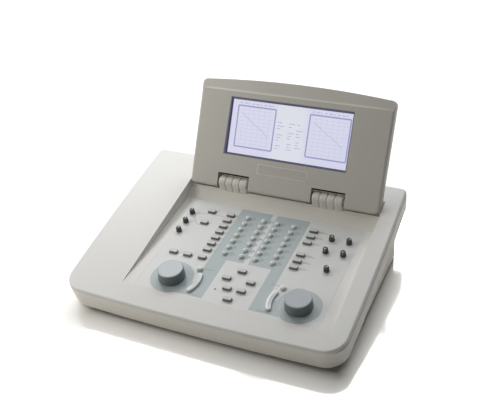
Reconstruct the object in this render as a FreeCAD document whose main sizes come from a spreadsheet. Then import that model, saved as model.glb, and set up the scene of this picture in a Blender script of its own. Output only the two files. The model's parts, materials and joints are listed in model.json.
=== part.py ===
import FreeCAD, Part
import math
import os

import Sketcher
from FreeCAD import Placement, Rotation, Vector

# A two-channel desktop audiometer: a tilted slab on a wedge-shaped base pan, a sunk control
# panel with dials, knobs and keys, and a display lid on two hinge towers.
#
# X runs to the operator's right, Y to the back and Z up. The floor is z = 0.
# Three tilted frames are used:
#   slab frame   y along the slab's top towards the back, z square to it, origin at the front edge
#   panel frame  the same for the sunk control panel, origin at the front line of the well
#   lid frame    z up the lid, y towards its back, origin on the hinge axis

doc = FreeCAD.newDocument("audiometer")
sheet = doc.addObject("Spreadsheet::Sheet", "Dims")
X_AXIS = Vector(1, 0, 0)
Y_AXIS = Vector(0, 1, 0)
Z_AXIS = Vector(0, 0, 1)


# ---------------------------------------------------------------- sizes

class Size:
    """A number together with the spreadsheet expression that gives it."""

    def __init__(self, value, text):
        self.value = value
        self.text = text

    def __add__(self, other):
        other = as_size(other)
        return Size(self.value + other.value, f"({self.text} + {other.text})")

    def __sub__(self, other):
        other = as_size(other)
        return Size(self.value - other.value, f"({self.text} - {other.text})")

    def __mul__(self, other):
        other = as_size(other)
        return Size(self.value * other.value, f"({self.text} * {other.text})")

    def __truediv__(self, other):
        other = as_size(other)
        return Size(self.value / other.value, f"({self.text} / {other.text})")

    def __radd__(self, other):
        return as_size(other) + self

    def __rsub__(self, other):
        return as_size(other) - self

    def __rmul__(self, other):
        return as_size(other) * self

    def __neg__(self):
        return as_size(0) - self


def as_size(number):
    return number if isinstance(number, Size) else Size(float(number), f"({float(number)!r})")


def sine(angle):
    return Size(math.sin(math.radians(angle.value)), f"sin({angle.text} * 1 deg)")


def cosine(angle):
    return Size(math.cos(math.radians(angle.value)), f"cos({angle.text} * 1 deg)")


rows_written = []


def dim(alias, value, meaning):
    """Write one driving dimension to the sheet, in mm or degrees, and return its Size."""
    rows_written.append(alias)
    row = len(rows_written)
    sheet.set(f"A{row}", meaning)
    sheet.set(f"B{row}", str(value))
    sheet.setAlias(f"B{row}", alias)
    return Size(float(value), f"Dims.{alias}")


# console slab
slab_width = dim("slab_width", 514, "slab, over its bowed sides")
slab_length = dim("slab_length", 378, "slab, front to back along its top")
slab_thick = dim("slab_thick", 43, "slab, square to its top")
slab_slope = dim("slab_slope", 10.94, "slab's tilt, rising to the back")
front_height = dim("front_height", 46.1, "front top edge above the floor")
front_bow = dim("front_bow", 5.5, "bow of the front edge")
side_bow = dim("side_bow", 3, "bow of each side edge")
plan_radius = dim("plan_radius", 40, "slab's front corners in plan")
rear_radius = dim("rear_radius", 11, "slab's rear corners in plan")
edge_radius = dim("edge_radius", 4.5, "round on the slab's top edge")
upper_height = dim("upper_height", 18, "top cover's skirt, top to parting line")
lower_lean = dim("lower_lean", 1.5, "lean of the lower shell's walls, top to bottom")
parting_chamfer = dim("parting_chamfer", 0.4, "chamfer each side of the parting line")
cover_wall = dim("cover_wall", 3.5, "top cover's wall")
lower_wall = dim("lower_wall", 3, "lower shell's wall")
lower_round = dim("lower_round", 2, "round on the lower shell's bottom edge")
floor_hole_front = dim("floor_hole_front", 110, "front edge of the hole in the shell's floor")
floor_hole_back = dim("floor_hole_back", 48, "hole in the shell's floor, before the slab's rear edge")
floor_hole_side = dim("floor_hole_side", 24, "hole in the shell's floor, inside the pan's sides")

# sunk well, hinge ramp and trough
well_width = dim("well_width", 376, "well, wall to wall")
right_shoulder = dim("right_shoulder", 31.5, "slab beside the well on the right")
well_front = dim("well_front", 36.2, "well's front line behind the slab's front")
well_angle = dim("well_angle", 5.87, "panel's tilt below the slab's top")
rear_deck = dim("rear_deck", 63, "hinge axis to the slab's rear edge")
hinge_rise = dim("hinge_rise", 1.3, "hinge axis above the slab's top plane")
ramp_reach = dim("ramp_reach", 33, "foot of the ramp before the hinge axis")
ramp_aim = dim("ramp_aim", 9.5, "ramp's end below the hinge axis, inside the trough")
trough_radius = dim("trough_radius", 14, "trough round the hinge axis")
lean_room = dim("lean_room", 51, "trough's back wall, lean from square to the slab")

# control panel stack, square to the panel
panel_strip = dim("panel_strip", 22, "well floor on each side of the panel")
panel_front = dim("panel_front", 2, "panel's front edge from the well's front line")
panel_back = dim("panel_back", 4, "panel's back edge before the foot of the ramp")
panel_fit = dim("panel_fit", 0.2, "gap round the panel in its rebate")
panel_ledge = dim("panel_ledge", 3, "ledge under the panel's edge")
film_thick = dim("film_thick", 0.5, "printed film")
plate_thick = dim("plate_thick", 1.5, "panel plate")
board_drop = dim("board_drop", 8, "top of keypad board below the panel's face")
board_thick = dim("board_thick", 1.6, "circuit boards")
mat_thick = dim("mat_thick", 1.3, "switch mat")
mat_margin = dim("mat_margin", 5, "switch mat's front and back edges inside the panel's")
mat_side = dim("mat_side", 3, "switch mat beyond the outer keys")
spacer_radius = dim("spacer_radius", 3, "panel spacers")

# keys
key_gap = dim("key_gap", 0.3, "gap round a key in its hole")
key_travel = dim("key_travel", 1.5, "key travel")
flange_lip = dim("flange_lip", 1, "key flange beyond the hole")
flange_thick = dim("flange_thick", 0.9, "key flange")
under_gap = dim("under_gap", 0.3, "gap under the plate to flanges and bodies")
round_radius = dim("round_radius", 4.6, "round keys")
round_height = dim("round_height", 5.8, "round keys above the panel")
round_pitch = dim("round_pitch", 16.5, "key rows")
inner_column = dim("inner_column", 13.3, "inner round columns from their middle")
outer_column = dim("outer_column", 45, "outer round columns from their middle")
round_middle = dim("round_middle", 2.5, "middle of the round columns, left of the well's middle")
back_row_inset = dim("back_row_inset", 24.5, "rearmost key row from the panel's back edge")
key_apart = dim("key_apart", 120, "left column's last key from its first")
oblong_width = dim("oblong_width", 15.5, "oblong keys")
oblong_depth = dim("oblong_depth", 7.5, "oblong keys, front to back")
oblong_height = dim("oblong_height", 5, "oblong keys above the panel")
bar_radius = dim("bar_radius", 49, "present bar's curve, about its dial")
bar_width = dim("bar_width", 9.5, "present bar")
bar_height = dim("bar_height", 4.6, "present bar above the panel")
bar_sweep = dim("bar_sweep", 44, "present bar's angle")
bar_start = dim("bar_start", 25, "front end of the bar below the dial's middle line")
bar_button_radius = dim("bar_button_radius", 5, "round button beyond the bar")
bar_button_angle = dim("bar_button_angle", 37.5, "round button about the dial")

# dials and knobs
dial_radius = dim("dial_radius", 23.4, "dial at its foot")
dial_top_radius = dim("dial_top_radius", 22.2, "dial at its top")
dial_height = dim("dial_height", 18.5, "dial")
dial_lift = dim("dial_lift", 0.8, "gap under a dial")
dial_offset = dim("dial_offset", 115.75, "dials from their middle")
dial_middle = dim("dial_middle", 5.25, "middle of the two dials, right of the well's middle")
dial_along = dim("dial_along", 39, "dials, along the panel")
dial_shaft = dim("dial_shaft", 3, "radius of a dial's shaft")
knob_radius = dim("knob_radius", 5.3, "small knobs at the foot")
knob_top_radius = dim("knob_top_radius", 4.7, "small knobs at the top")
knob_height = dim("knob_height", 9.5, "small knobs")
knob_lift = dim("knob_lift", 0.6, "gap under a small knob")
knob_shaft = dim("knob_shaft", 1.5, "radius of a knob's shaft")
shaft_fit = dim("shaft_fit", 0.05, "radial running clearance")
shaft_room = dim("shaft_room", 1, "clearance round a shaft in the plate")
encoder_side = dim("encoder_side", 24, "dial encoder body")
pot_side = dim("pot_side", 9.5, "knob potentiometer body")

# display lid
lid_lean = dim("lid_lean", 28.82, "lid's lean back from upright")
lid_side_gap = dim("lid_side_gap", 2, "lid to the well's walls")
lid_trough_gap = dim("lid_trough_gap", 0.5, "lid's turning edge to the trough")
lid_height = dim("lid_height", 187.3, "lid's top corners above the axis")
lid_arch = dim("lid_arch", 8.4, "rise of the lid's arched top")
lid_seam = dim("lid_seam", 4, "seam between lid shells, before the axis")
lid_wall = dim("lid_wall", 2.5, "lid shells' wall")
lid_corner = dim("lid_corner", 9, "lid's corners")
lid_round = dim("lid_round", 5, "round on the lid's front and back edges")
brow_height = dim("brow_height", 17.3, "lid's sloped brow, below its top corners")
brow_depth = dim("brow_depth", 5.4, "brow's fall back at the top")
brow_ledge = dim("brow_ledge", 1.4, "ledge at the foot of the brow")
notch_side_gap = dim("notch_side_gap", 3.5, "notch beyond its tower on each side")
notch_top_gap = dim("notch_top_gap", 5, "notch above its tower")
notch_left = dim("notch_left", 97.5, "left notch's middle, left of the lid's middle")
notch_right = dim("notch_right", 89.5, "right notch's middle, right of the lid's middle")
tower_gap = dim("tower_gap", 2, "tower's barrel to the trough's wall")
tower_width = dim("tower_width", 57, "hinge tower")
rib_groove = dim("rib_groove", 1.1, "grooves between the tower's ribs")
pin_radius = dim("pin_radius", 3, "hinge pins")
pin_hold = dim("pin_hold", 12, "pin's grip each side of the notch")
pin_boss = dim("pin_boss", 6.5, "half height of the pin bosses")
screen_width = dim("screen_width", 236.5, "screen opening")
screen_height = dim("screen_height", 103, "screen opening")
screen_shift = dim("screen_shift", -2.2, "screen opening's middle from the lid's middle")
screen_foot = dim("screen_foot", 55, "screen opening's bottom edge above the axis")
window_lap = dim("window_lap", 4, "window behind the bezel all round")
window_thick = dim("window_thick", 1.5, "screen window")
lcd_thick = dim("lcd_thick", 6, "display module")
plate_offset = dim("plate_offset", 50.5, "name plate's left end, left of the lid's middle")
plate_width = dim("plate_width", 93, "name plate")
plate_foot = dim("plate_foot", 26.5, "name plate above the axis")
plate_height = dim("plate_height", 15.5, "name plate")
plate_sink = dim("plate_sink", 0.8, "name plate's recess")
plate_proud = dim("plate_proud", 0.3, "name plate above the bezel")

# base pan, feet and rear connectors
pan_width = dim("pan_width", 496, "base pan")
pan_front = dim("pan_front", 140, "pan's front before the slab's middle")
pan_back = dim("pan_back", 155, "pan's back behind the slab's middle")
pan_radius = dim("pan_radius", 28, "pan's corners in plan")
pan_wall = dim("pan_wall", 3, "pan's wall and floor")
foot_height = dim("foot_height", 5, "feet, and the gap under the pan")
foot_radius = dim("foot_radius", 11, "feet")
foot_inset = dim("foot_inset", 36, "feet from the pan's sides")
screw_inset = dim("screw_inset", 20, "case screws from the pan's sides")
screw_radius = dim("screw_radius", 2, "case screws")
head_radius = dim("head_radius", 3.6, "case screw heads")
head_thick = dim("head_thick", 1.8, "case screw heads")
rear_width = dim("rear_width", 404, "rear connector plate")
rear_height = dim("rear_height", 44, "rear connector plate")
rear_foot = dim("rear_foot", 12, "connector plate's bottom edge above the floor")
rear_thick = dim("rear_thick", 1.5, "connector plate")
socket_pitch = dim("socket_pitch", 32, "jack sockets")
socket_start = dim("socket_start", -172, "first jack socket")
socket_bore = dim("socket_bore", 3.2, "radius of a jack socket's bore")
socket_nut = dim("socket_nut", 6.5, "radius of a jack socket's nut")
socket_body = dim("socket_body", 5.5, "radius of a jack socket's body")
socket_depth = dim("socket_depth", 22, "jack socket behind the plate")
inlet_centre = dim("inlet_centre", 150, "mains inlet's middle")
inlet_width = dim("inlet_width", 48, "mains inlet's flange")
inlet_height = dim("inlet_height", 30, "mains inlet's flange")
inlet_depth = dim("inlet_depth", 30, "mains inlet behind the plate")
rocker_width = dim("rocker_width", 11, "mains rocker")
rocker_height = dim("rocker_height", 20, "mains rocker")
rocker_offset = dim("rocker_offset", 15, "rocker from the inlet's middle")
doc.recompute()

# what follows from them
well_centre = slab_width / 2 - right_shoulder - well_width / 2
hinge_along = slab_length - rear_deck
panel_width = well_width - panel_strip * 2
ramp_start = (hinge_along - ramp_reach - well_front) / cosine(well_angle)
panel_length = ramp_start - panel_back - panel_front
back_row = panel_front + panel_length - back_row_inset
lid_width = well_width - lid_side_gap * 2
lid_half = (trough_radius - lid_trough_gap - lid_round) / math.sqrt(2) + lid_round
lid_foot = lid_front = lid_back = lid_half         # all that turns in the trough is that far out
tower_radius = trough_radius - tower_gap
notch_width = tower_width + notch_side_gap * 2
notch_height = tower_radius + notch_top_gap
ridge_height = lid_height - brow_height
screen_centre = well_centre + screen_shift
plate_left = well_centre - plate_offset

ROWS = 7                        # round keys in a column
COLUMN_KEYS = 7                 # oblong keys in the left column, before the one that stands apart
KEY_FLOOR = board_drop - mat_thick - 0.2          # depth of a key's stem pressed home
FILM_UNDER = film_thick + plate_thick             # underside of the plate below the face


# ---------------------------------------------------------------- helpers

def bind(thing, path, size):
    thing.setExpression(path, as_size(size).text)


def new_body(label, separate_solids=False):
    made = doc.addObject("PartDesign::Body", label)
    made.Label = label
    made.AllowCompound = separate_solids
    return made


def new_sketch(body, role, name, lift=None):
    """A sketch on one of the body's own origin planes, lifted along the plane's normal."""
    sketch = body.newObject("Sketcher::SketchObject", f"{body.Label}_{name}")
    plane = [part for part in body.Origin.OriginFeatures if part.Role == role][0]
    sketch.AttachmentSupport = [(plane, "")]
    sketch.MapMode = "FlatFace"
    if lift is not None:
        bind(sketch, "AttachmentOffset.Base.z", lift)
    return sketch


def hold_point(sketch, element, end, place):
    """Fix a point of the sketch at a place given by two sizes."""
    for kind, axis, size in (("DistanceX", -2, as_size(place[0])), ("DistanceY", -1, as_size(place[1]))):
        if abs(size.value) < 1e-9:
            sketch.addConstraint(Sketcher.Constraint("PointOnObject", element, end, axis))
        else:
            index = sketch.addConstraint(Sketcher.Constraint(kind, -1, 1, element, end, size.value))
            bind(sketch, f"Constraints[{index}]", size)


def polygon(sketch, places):
    """A closed outline of straight lines through the places."""
    flat = [Vector(as_size(a).value, as_size(b).value, 0) for a, b in places]
    count = len(flat)
    first = sketch.GeometryCount
    for i in range(count):
        sketch.addGeometry(Part.LineSegment(flat[i], flat[(i + 1) % count]), False)
    for i in range(count):
        after = first + (i + 1) % count
        sketch.addConstraint(Sketcher.Constraint("Coincident", first + i, 2, after, 1))
    for i in range(count):
        hold_point(sketch, first + i, 1, places[i])
    return sketch


def rectangle(sketch, left, bottom, width, height):
    left, bottom = as_size(left), as_size(bottom)
    right, top = left + width, bottom + height
    return polygon(sketch, [(left, bottom), (right, bottom), (right, top), (left, top)])


def circle(sketch, centre, radius):
    radius = as_size(radius)
    middle = Vector(as_size(centre[0]).value, as_size(centre[1]).value, 0)
    element = sketch.addGeometry(Part.Circle(middle, Vector(0, 0, 1), radius.value), False)
    hold_point(sketch, element, 3, centre)
    index = sketch.addConstraint(Sketcher.Constraint("Radius", element, radius.value))
    bind(sketch, f"Constraints[{index}]", radius)
    return sketch


def bowed_outline(sketch, corners, bows):
    """A four-sided outline whose sides bow outwards, each by its own size."""
    flat = [Vector(as_size(a).value, as_size(b).value, 0) for a, b in corners]
    middle = (flat[0] + flat[1] + flat[2] + flat[3]) * 0.25
    for i, bow in enumerate(bows):
        start, end = flat[i], flat[(i + 1) % 4]
        if bow is None:
            sketch.addGeometry(Part.LineSegment(start, end), False)
            continue
        half = (start + end) * 0.5
        outward = (end - start).cross(Z_AXIS).normalize()
        if outward.dot(half - middle) < 0:
            outward = -outward
        sketch.addGeometry(Part.Arc(start, half + outward * bow.value, end), False)
    for i in range(4):
        end_mark, start_mark = 2, 1
        here, after = sketch.Geometry[i], sketch.Geometry[(i + 1) % 4]
        corner = flat[(i + 1) % 4]
        if (here.StartPoint - corner).Length < (here.EndPoint - corner).Length:
            end_mark = 1
        if (after.EndPoint - corner).Length < (after.StartPoint - corner).Length:
            start_mark = 2
        sketch.addConstraint(Sketcher.Constraint("Coincident", i, end_mark, (i + 1) % 4, start_mark))
        hold_point(sketch, i, end_mark, corners[(i + 1) % 4])
    for i, bow in enumerate(bows):
        if bow is None:
            continue
        a, b = corners[i], corners[(i + 1) % 4]
        across = as_size(b[0]) - a[0] if abs(flat[i].y - flat[(i + 1) % 4].y) < 1e-6 else as_size(b[1]) - a[1]
        radius = (across * across / 4 + bow * bow) / (2 * bow)
        index = sketch.addConstraint(Sketcher.Constraint("Radius", i, sketch.Geometry[i].Radius))
        bind(sketch, f"Constraints[{index}]", radius)
    return sketch


def extrude(kind, body, sketch, length, both_ways=False, reverse=False, taper=None):
    feature = body.newObject(kind, f"{sketch.Label}_{kind[12:].lower()}")
    feature.Profile = sketch
    feature.Reversed = reverse
    if both_ways:
        feature.SideType = "Symmetric"
    bind(feature, "Length", length)
    if taper is not None:
        bind(feature, "TaperAngle", taper)
    doc.recompute()
    return feature


def pad(body, sketch, length, **choices):
    return extrude("PartDesign::Pad", body, sketch, length, **choices)


def pocket(body, sketch, length, **choices):
    before = body.Tip.Shape.Volume
    feature = extrude("PartDesign::Pocket", body, sketch, length, **choices)
    if feature.Shape.Volume >= before - 1e-6:
        raise RuntimeError(f"{feature.Label} cuts nothing")
    return feature


def edge_names(shape, wanted):
    return [f"Edge{i + 1}" for i, edge in enumerate(shape.Edges) if wanted(edge)]


def dress(kind, body, prop, size, names):
    base = body.Tip
    feature = body.newObject(kind, f"{base.Label}_{kind[12:].lower()}")
    feature.Base = (base, names)
    bind(feature, prop, size)
    doc.recompute()
    return feature


def fillet(body, radius, wanted):
    return dress("PartDesign::Fillet", body, "Radius", radius, edge_names(body.Tip.Shape, wanted))


def chamfer(body, size, wanted):
    return dress("PartDesign::Chamfer", body, "Size", size, edge_names(body.Tip.Shape, wanted))


def hollow(body, wall, open_face):
    """Shell the body inwards, leaving the wanted face open."""
    names = [f"Face{i + 1}" for i, face in enumerate(body.Tip.Shape.Faces) if open_face(face)]
    feature = dress("PartDesign::Thickness", body, "Value", wall, names)
    feature.Reversed = True
    feature.Join = "Intersection"
    doc.recompute()
    return feature


def is_upright(edge, axis=Z_AXIS):
    """A straight edge along the axis, or close to it on a tapered wall."""
    if len(edge.Vertexes) != 2:
        return False
    run = edge.Vertexes[1].Point - edge.Vertexes[0].Point
    return run.Length > 1e-6 and abs(run.normalize().dot(axis)) > 0.85


def lies_at(edge, axis, level):
    """All of the edge lies in the plane at this level along the axis."""
    box = edge.BoundBox
    low, high = ((box.XMin, box.XMax), (box.YMin, box.YMax), (box.ZMin, box.ZMax))[axis]
    return abs(low - level) < 1e-4 and abs(high - level) < 1e-4


def block(name, corner, sides):
    """A box with bound sides and corner."""
    made = doc.addObject("Part::Box", name)
    for prop, size in zip(("Length", "Width", "Height"), sides):
        bind(made, prop, size)
    for letter, size in zip("xyz", corner):
        bind(made, f"Placement.Base.{letter}", size)
    return made


def rod(name, foot, radius, length, along="z"):
    """A cylinder with bound radius and length, from its foot along an axis."""
    made = doc.addObject("Part::Cylinder", name)
    turns = {"z": Rotation(), "x": Rotation(Y_AXIS, 90), "y": Rotation(X_AXIS, -90)}
    made.Placement = Placement(Vector(), turns[along])
    bind(made, "Radius", radius)
    bind(made, "Height", length)
    for letter, size in zip("xyz", foot):
        bind(made, f"Placement.Base.{letter}", size)
    return made


def fuse(label, pieces):
    made = doc.addObject("Part::MultiFuse", label)
    made.Label = label
    made.Shapes = pieces
    return made


def group(label, pieces):
    made = doc.addObject("Part::Compound", label)
    made.Label = label
    made.Links = pieces
    return made


def cut(label, base, tool):
    made = doc.addObject("Part::Cut", label)
    made.Label = label
    made.Base = base
    made.Tool = tool
    return made


# ---------------------------------------------------------------- frames

SLAB = Placement(
    Vector(0, -slab_length.value * math.cos(math.radians(slab_slope.value)) / 2, front_height.value),
    Rotation(X_AXIS, slab_slope.value))
PANEL = SLAB * Placement(Vector(0, well_front.value, 0), Rotation(X_AXIS, -well_angle.value))
AXIS_POINT = SLAB.multVec(Vector(0, hinge_along.value, hinge_rise.value))
LID = Placement(AXIS_POINT, Rotation(X_AXIS, -lid_lean.value))

nodes = {}          # node name -> (object, frame)


def keep(made, frame):
    nodes[made.Label] = (made, frame)
    return made


def on_panel(along, above=0.0):
    """Slab-frame y and z of a place on the panel, from the panel's own two measures."""
    along, above = as_size(along), as_size(above)
    y = well_front + along * cosine(well_angle) + above * sine(well_angle)
    z = above * cosine(well_angle) - along * sine(well_angle)
    return y, z


# ---------------------------------------------------------------- top cover

def slab_outline(sketch, inset=0.0):
    half, back = slab_width / 2 - side_bow - inset, slab_length - inset
    corners = [(-half, inset), (half, inset), (half, back), (-half, back)]
    return bowed_outline(sketch, corners, [front_bow, side_bow, None, side_bow])


def well_profiles(body):
    """The three sketches, seen from the side, whose sweep across the well is its space."""
    foot = on_panel(ramp_start)
    top = (hinge_along - trough_radius / 2, hinge_rise - ramp_aim)
    above = as_size(6)
    panel_part = new_sketch(body, "YZ_Plane", "well_side", well_centre)
    polygon(panel_part, [(well_front, 0), foot, top, (top[0], above), (well_front, above)])
    trough = new_sketch(body, "YZ_Plane", "trough_side", well_centre)
    circle(trough, (hinge_along, hinge_rise), trough_radius)
    back = (hinge_along + trough_radius * cosine(lean_room), hinge_rise - trough_radius * sine(lean_room))
    rise = above + trough_radius
    lip = (back[0] + rise * sine(lean_room), back[1] + rise * cosine(lean_room))
    opening = new_sketch(body, "YZ_Plane", "lean_side", well_centre)
    polygon(opening, [(hinge_along, hinge_rise), back, lip, (top[0], lip[1]), (top[0], hinge_rise)])
    return [panel_part, trough, opening]


def round_corners(body, inset=0.0):
    """Round the slab's upright edges: wide at the front, tight at the rear."""
    middle = slab_length.value / 2
    fillet(body, plan_radius - inset, lambda edge: is_upright(edge) and edge.CenterOfMass.y < middle)
    fillet(body, rear_radius - inset, lambda edge: is_upright(edge) and edge.CenterOfMass.y > middle)


def make_top_cover():
    body = new_body("top_cover")
    pad(body, slab_outline(new_sketch(body, "XY_Plane", "plan")), slab_thick, reverse=True)
    round_corners(body)
    fillet(body, edge_radius, lambda edge: lies_at(edge, 2, 0))
    for side in well_profiles(body):
        pocket(body, side, well_width, both_ways=True)
    hollow(body, cover_wall, lambda face: abs(face.CenterOfMass.z + slab_thick.value) < 1e-6)
    trim = new_sketch(body, "XY_Plane", "skirt", -slab_thick)
    rectangle(trim, -slab_width, -slab_length, slab_width * 2, slab_length * 3)
    rectangle(trim, well_centre - well_width / 2 - cover_wall, well_front,
              well_width + 2 * cover_wall, hinge_along - well_front)
    pocket(body, trim, slab_thick - upper_height, reverse=True)
    rebate = new_sketch(body, "YZ_Plane", "rebate", well_centre)
    front, back = panel_front - panel_fit, panel_front + panel_length + panel_fit
    polygon(rebate, [on_panel(front, -FILM_UNDER), on_panel(back, -FILM_UNDER),
                     on_panel(back, 1), on_panel(front, 1)])
    pocket(body, rebate, panel_width + 2 * panel_fit, both_ways=True)
    through = new_sketch(body, "YZ_Plane", "through", well_centre)
    front, back = panel_front + panel_ledge, panel_front + panel_length - panel_ledge
    polygon(through, [on_panel(front, -cover_wall * 3), on_panel(back, -cover_wall * 3),
                      on_panel(back, 1), on_panel(front, 1)])
    pocket(body, through, panel_width - 2 * panel_ledge, both_ways=True)
    rim = -upper_height.value
    outside = slab_width.value / 2 - side_bow.value - 1
    chamfer(body, parting_chamfer, lambda edge: lies_at(edge, 2, rim) and is_outer_rim(edge, outside))
    return keep(body, SLAB)


def is_outer_rim(edge, outside):
    """The rim's edge on the skirt's outer face, not the one inside it."""
    box = edge.BoundBox
    wide = max(abs(box.XMin), abs(box.XMax)) > outside
    front = box.YMin < cover_wall.value * 0.6
    back = box.YMax > slab_length.value - cover_wall.value * 0.6
    return wide or front or back


# ---------------------------------------------------------------- lower shell and base pan

def make_tub(label, inset):
    """The lower shell's outside, or with an inset its inside: a tub with leaning walls."""
    body = new_body(label)
    depth = slab_thick - upper_height - inset
    outline = slab_outline(new_sketch(body, "XY_Plane", "plan", -upper_height), inset)
    pad(body, outline, depth, reverse=True)
    round_corners(body, inset)
    lean = chamfer(body, depth - 1, lambda edge: lies_at(edge, 2, inset - slab_thick.value))
    lean.ChamferType = "Two distances"
    bind(lean, "Size2", lower_lean * (depth - 1) / (slab_thick - upper_height - 1))
    doc.recompute()
    return body


def make_lower_shell():
    outside = make_tub("lower_shell_outside", 0.0)
    fillet(outside, lower_round, lambda edge: lies_at(edge, 2, -slab_thick.value))
    chamfer(outside, parting_chamfer, lambda edge: lies_at(edge, 2, -upper_height.value))
    inside = make_tub("lower_shell_inside", lower_wall.value)
    floor_hole = block("lower_shell_floor_hole",
                       (floor_hole_side - pan_width / 2, floor_hole_front, -slab_thick * 1.5),
                       (pan_width - floor_hole_side * 2,
                        slab_length - floor_hole_front - floor_hole_back, slab_thick))
    screws = group("case_screw_holes", [
        rod(f"case_screw_hole_{i + 1}", (x, y, foot_height), screw_radius + shaft_fit, 140)
        for i, (x, y) in enumerate(case_screw_places())])
    tub = cut("lower_shell_tub", outside, group("lower_shell_spaces", [inside, floor_hole]))
    tub.Placement = SLAB
    keep(cut("lower_shell", tub, screws), Placement())


def slab_under(y):
    """Height of the slab's underside above the floor at a place y behind its middle."""
    drop = slab_thick / cosine(slab_slope)
    run = y + slab_length * cosine(slab_slope) / 2
    return front_height - drop + run * sine(slab_slope) / cosine(slab_slope)


def case_screw_places():
    side = pan_width / 2 - screw_inset
    places = []
    for y in (-pan_front + 34, as_size(0), pan_back - screw_inset):
        places += [(-side, y), (side, y)]
    return places


def make_base_pan():
    body = new_body("base_pan")
    plan = new_sketch(body, "XY_Plane", "plan", foot_height)
    rectangle(plan, -pan_width / 2, -pan_front, pan_width, pan_front + pan_back)
    pad(body, plan, slab_thick * 3)
    fillet(body, pan_radius, is_upright)
    hollow(body, pan_wall, lambda face: face.CenterOfMass.z > foot_height.value + slab_thick.value * 2.9)
    posts = new_sketch(body, "XY_Plane", "posts", foot_height + pan_wall)
    for x, y in case_screw_places():
        circle(posts, (x, y), screw_radius * 3)
    pad(body, posts, slab_thick * 2.5)
    side = new_sketch(body, "YZ_Plane", "under_slab")
    low, high = -pan_front * 2, pan_back * 2
    polygon(side, [(low, slab_under(low)), (high, slab_under(high)), (high, 400), (low, 400)])
    pocket(body, side, pan_width * 2, both_ways=True)
    screws = new_sketch(body, "XY_Plane", "screw_holes", foot_height)
    for x, y in case_screw_places():
        circle(screws, (x, y), screw_radius + shaft_fit)
    pocket(body, screws, slab_thick * 2, reverse=True)
    heads = new_sketch(body, "XY_Plane", "screw_heads", foot_height)
    for x, y in case_screw_places():
        circle(heads, (x, y), head_radius + shaft_fit)
    pocket(body, heads, head_thick, reverse=True)
    window = new_sketch(body, "XZ_Plane", "rear_window", -pan_back)
    rectangle(window, -rear_width / 2 + 10, rear_foot + 6, rear_width - 20, rear_height - 12)
    pocket(body, window, pan_wall * 2, reverse=True)
    sound = new_sketch(body, "XY_Plane", "sound_slots", foot_height)
    for i in range(5):
        rectangle(sound, speaker_x - 20, speaker_y - 18 + 8 * i, 40, 3)
    pocket(body, sound, pan_wall, reverse=True)
    return keep(body, Placement())


def make_feet():
    side = pan_width / 2 - foot_inset
    feet = []
    for i, (x, y) in enumerate([(-side, -pan_front + foot_inset), (side, -pan_front + foot_inset),
                                (-side, pan_back - foot_inset), (side, pan_back - foot_inset)]):
        foot = rod(f"foot_{i + 1}", (x, y, 0), foot_radius, foot_height)
        rounded = doc.addObject("Part::Chamfer", f"foot_{i + 1}_edge")
        rounded.Base = foot
        doc.recompute()
        rounded.Edges = [(n + 1, 1.0, 1.0) for n, edge in enumerate(foot.Shape.Edges)
                         if lies_at(edge, 2, 0)]
        feet.append(rounded)
    return keep(group("rubber_feet", feet), Placement())


def make_case_screws():
    screws = []
    for i, (x, y) in enumerate(case_screw_places()):
        length = slab_under(y) + lower_wall * 1.6 - foot_height
        shaft = rod(f"case_screw_{i + 1}_shaft", (x, y, foot_height), screw_radius, length)
        head = rod(f"case_screw_{i + 1}_head", (x, y, foot_height), head_radius, head_thick)
        slot = block(f"case_screw_{i + 1}_slot", (x - head_radius, y - 0.5, foot_height),
                     (head_radius * 2, 1.0, 0.8))
        screws.append(cut(f"case_screw_{i + 1}", fuse(f"case_screw_{i + 1}_whole", [shaft, head]), slot))
    return keep(group("case_screws", screws), Placement())


# ---------------------------------------------------------------- control panel stack

LEFT_ROW_X = well_centre - 138
RIGHT_KEYS_X = well_centre + 80.5
ROUND_COLUMNS = [well_centre - round_middle + across
                 for across in (-outer_column, -inner_column, inner_column, outer_column)]

# oblong keys: name, middle of the first key, number of keys and step along the panel
OBLONG_KEYS = [
    ("left_column_keys", well_centre - 82, back_row - 1, COLUMN_KEYS),
    ("left_upper_key_1", well_centre - 121, back_row - 0.5, 1),
    ("left_upper_key_2", well_centre - 121, back_row - 33.5, 1),
    ("left_row_key_1", LEFT_ROW_X, back_row - 122, 1),
    ("left_row_key_2", well_centre - 110, back_row - 122, 1),
    ("right_keys_upper", RIGHT_KEYS_X, back_row, 3),
    ("right_keys_lower", RIGHT_KEYS_X, back_row - 65.5, 3),
    ("centre_key_1", well_centre + 1, back_row - 133.5, 1),
    ("centre_key_2", well_centre - 18, back_row - 155.5, 1),
    ("centre_key_3", well_centre + 25.5, back_row - 154.5, 1),
    ("centre_key_4", well_centre - 7, back_row - 178, 1),
    ("centre_key_5", well_centre + 18.5, back_row - 177.5, 1),
    ("centre_key_6", well_centre + 4.5, back_row - 201, 1),
]

# small knobs: name and place on the panel
KNOBS = [
    ("left_knob_1", well_centre - 156, back_row - 13.5),
    ("left_knob_2", well_centre - 156, back_row - 40.5),
    ("left_knob_3", well_centre - 156, back_row - 67.5),
    ("right_knob_1", well_centre + 118.5, back_row - 12.5),
    ("right_knob_2", well_centre + 150, back_row - 12.5),
    ("right_knob_3", well_centre + 118.5, back_row - 45.5),
    ("right_knob_4", well_centre + 150, back_row - 45.5),
    ("right_knob_5", well_centre + 135.5, back_row - 89),
]

DIALS = [("left", well_centre + dial_middle - dial_offset, 1),
         ("right", well_centre + dial_middle + dial_offset, -1)]


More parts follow.
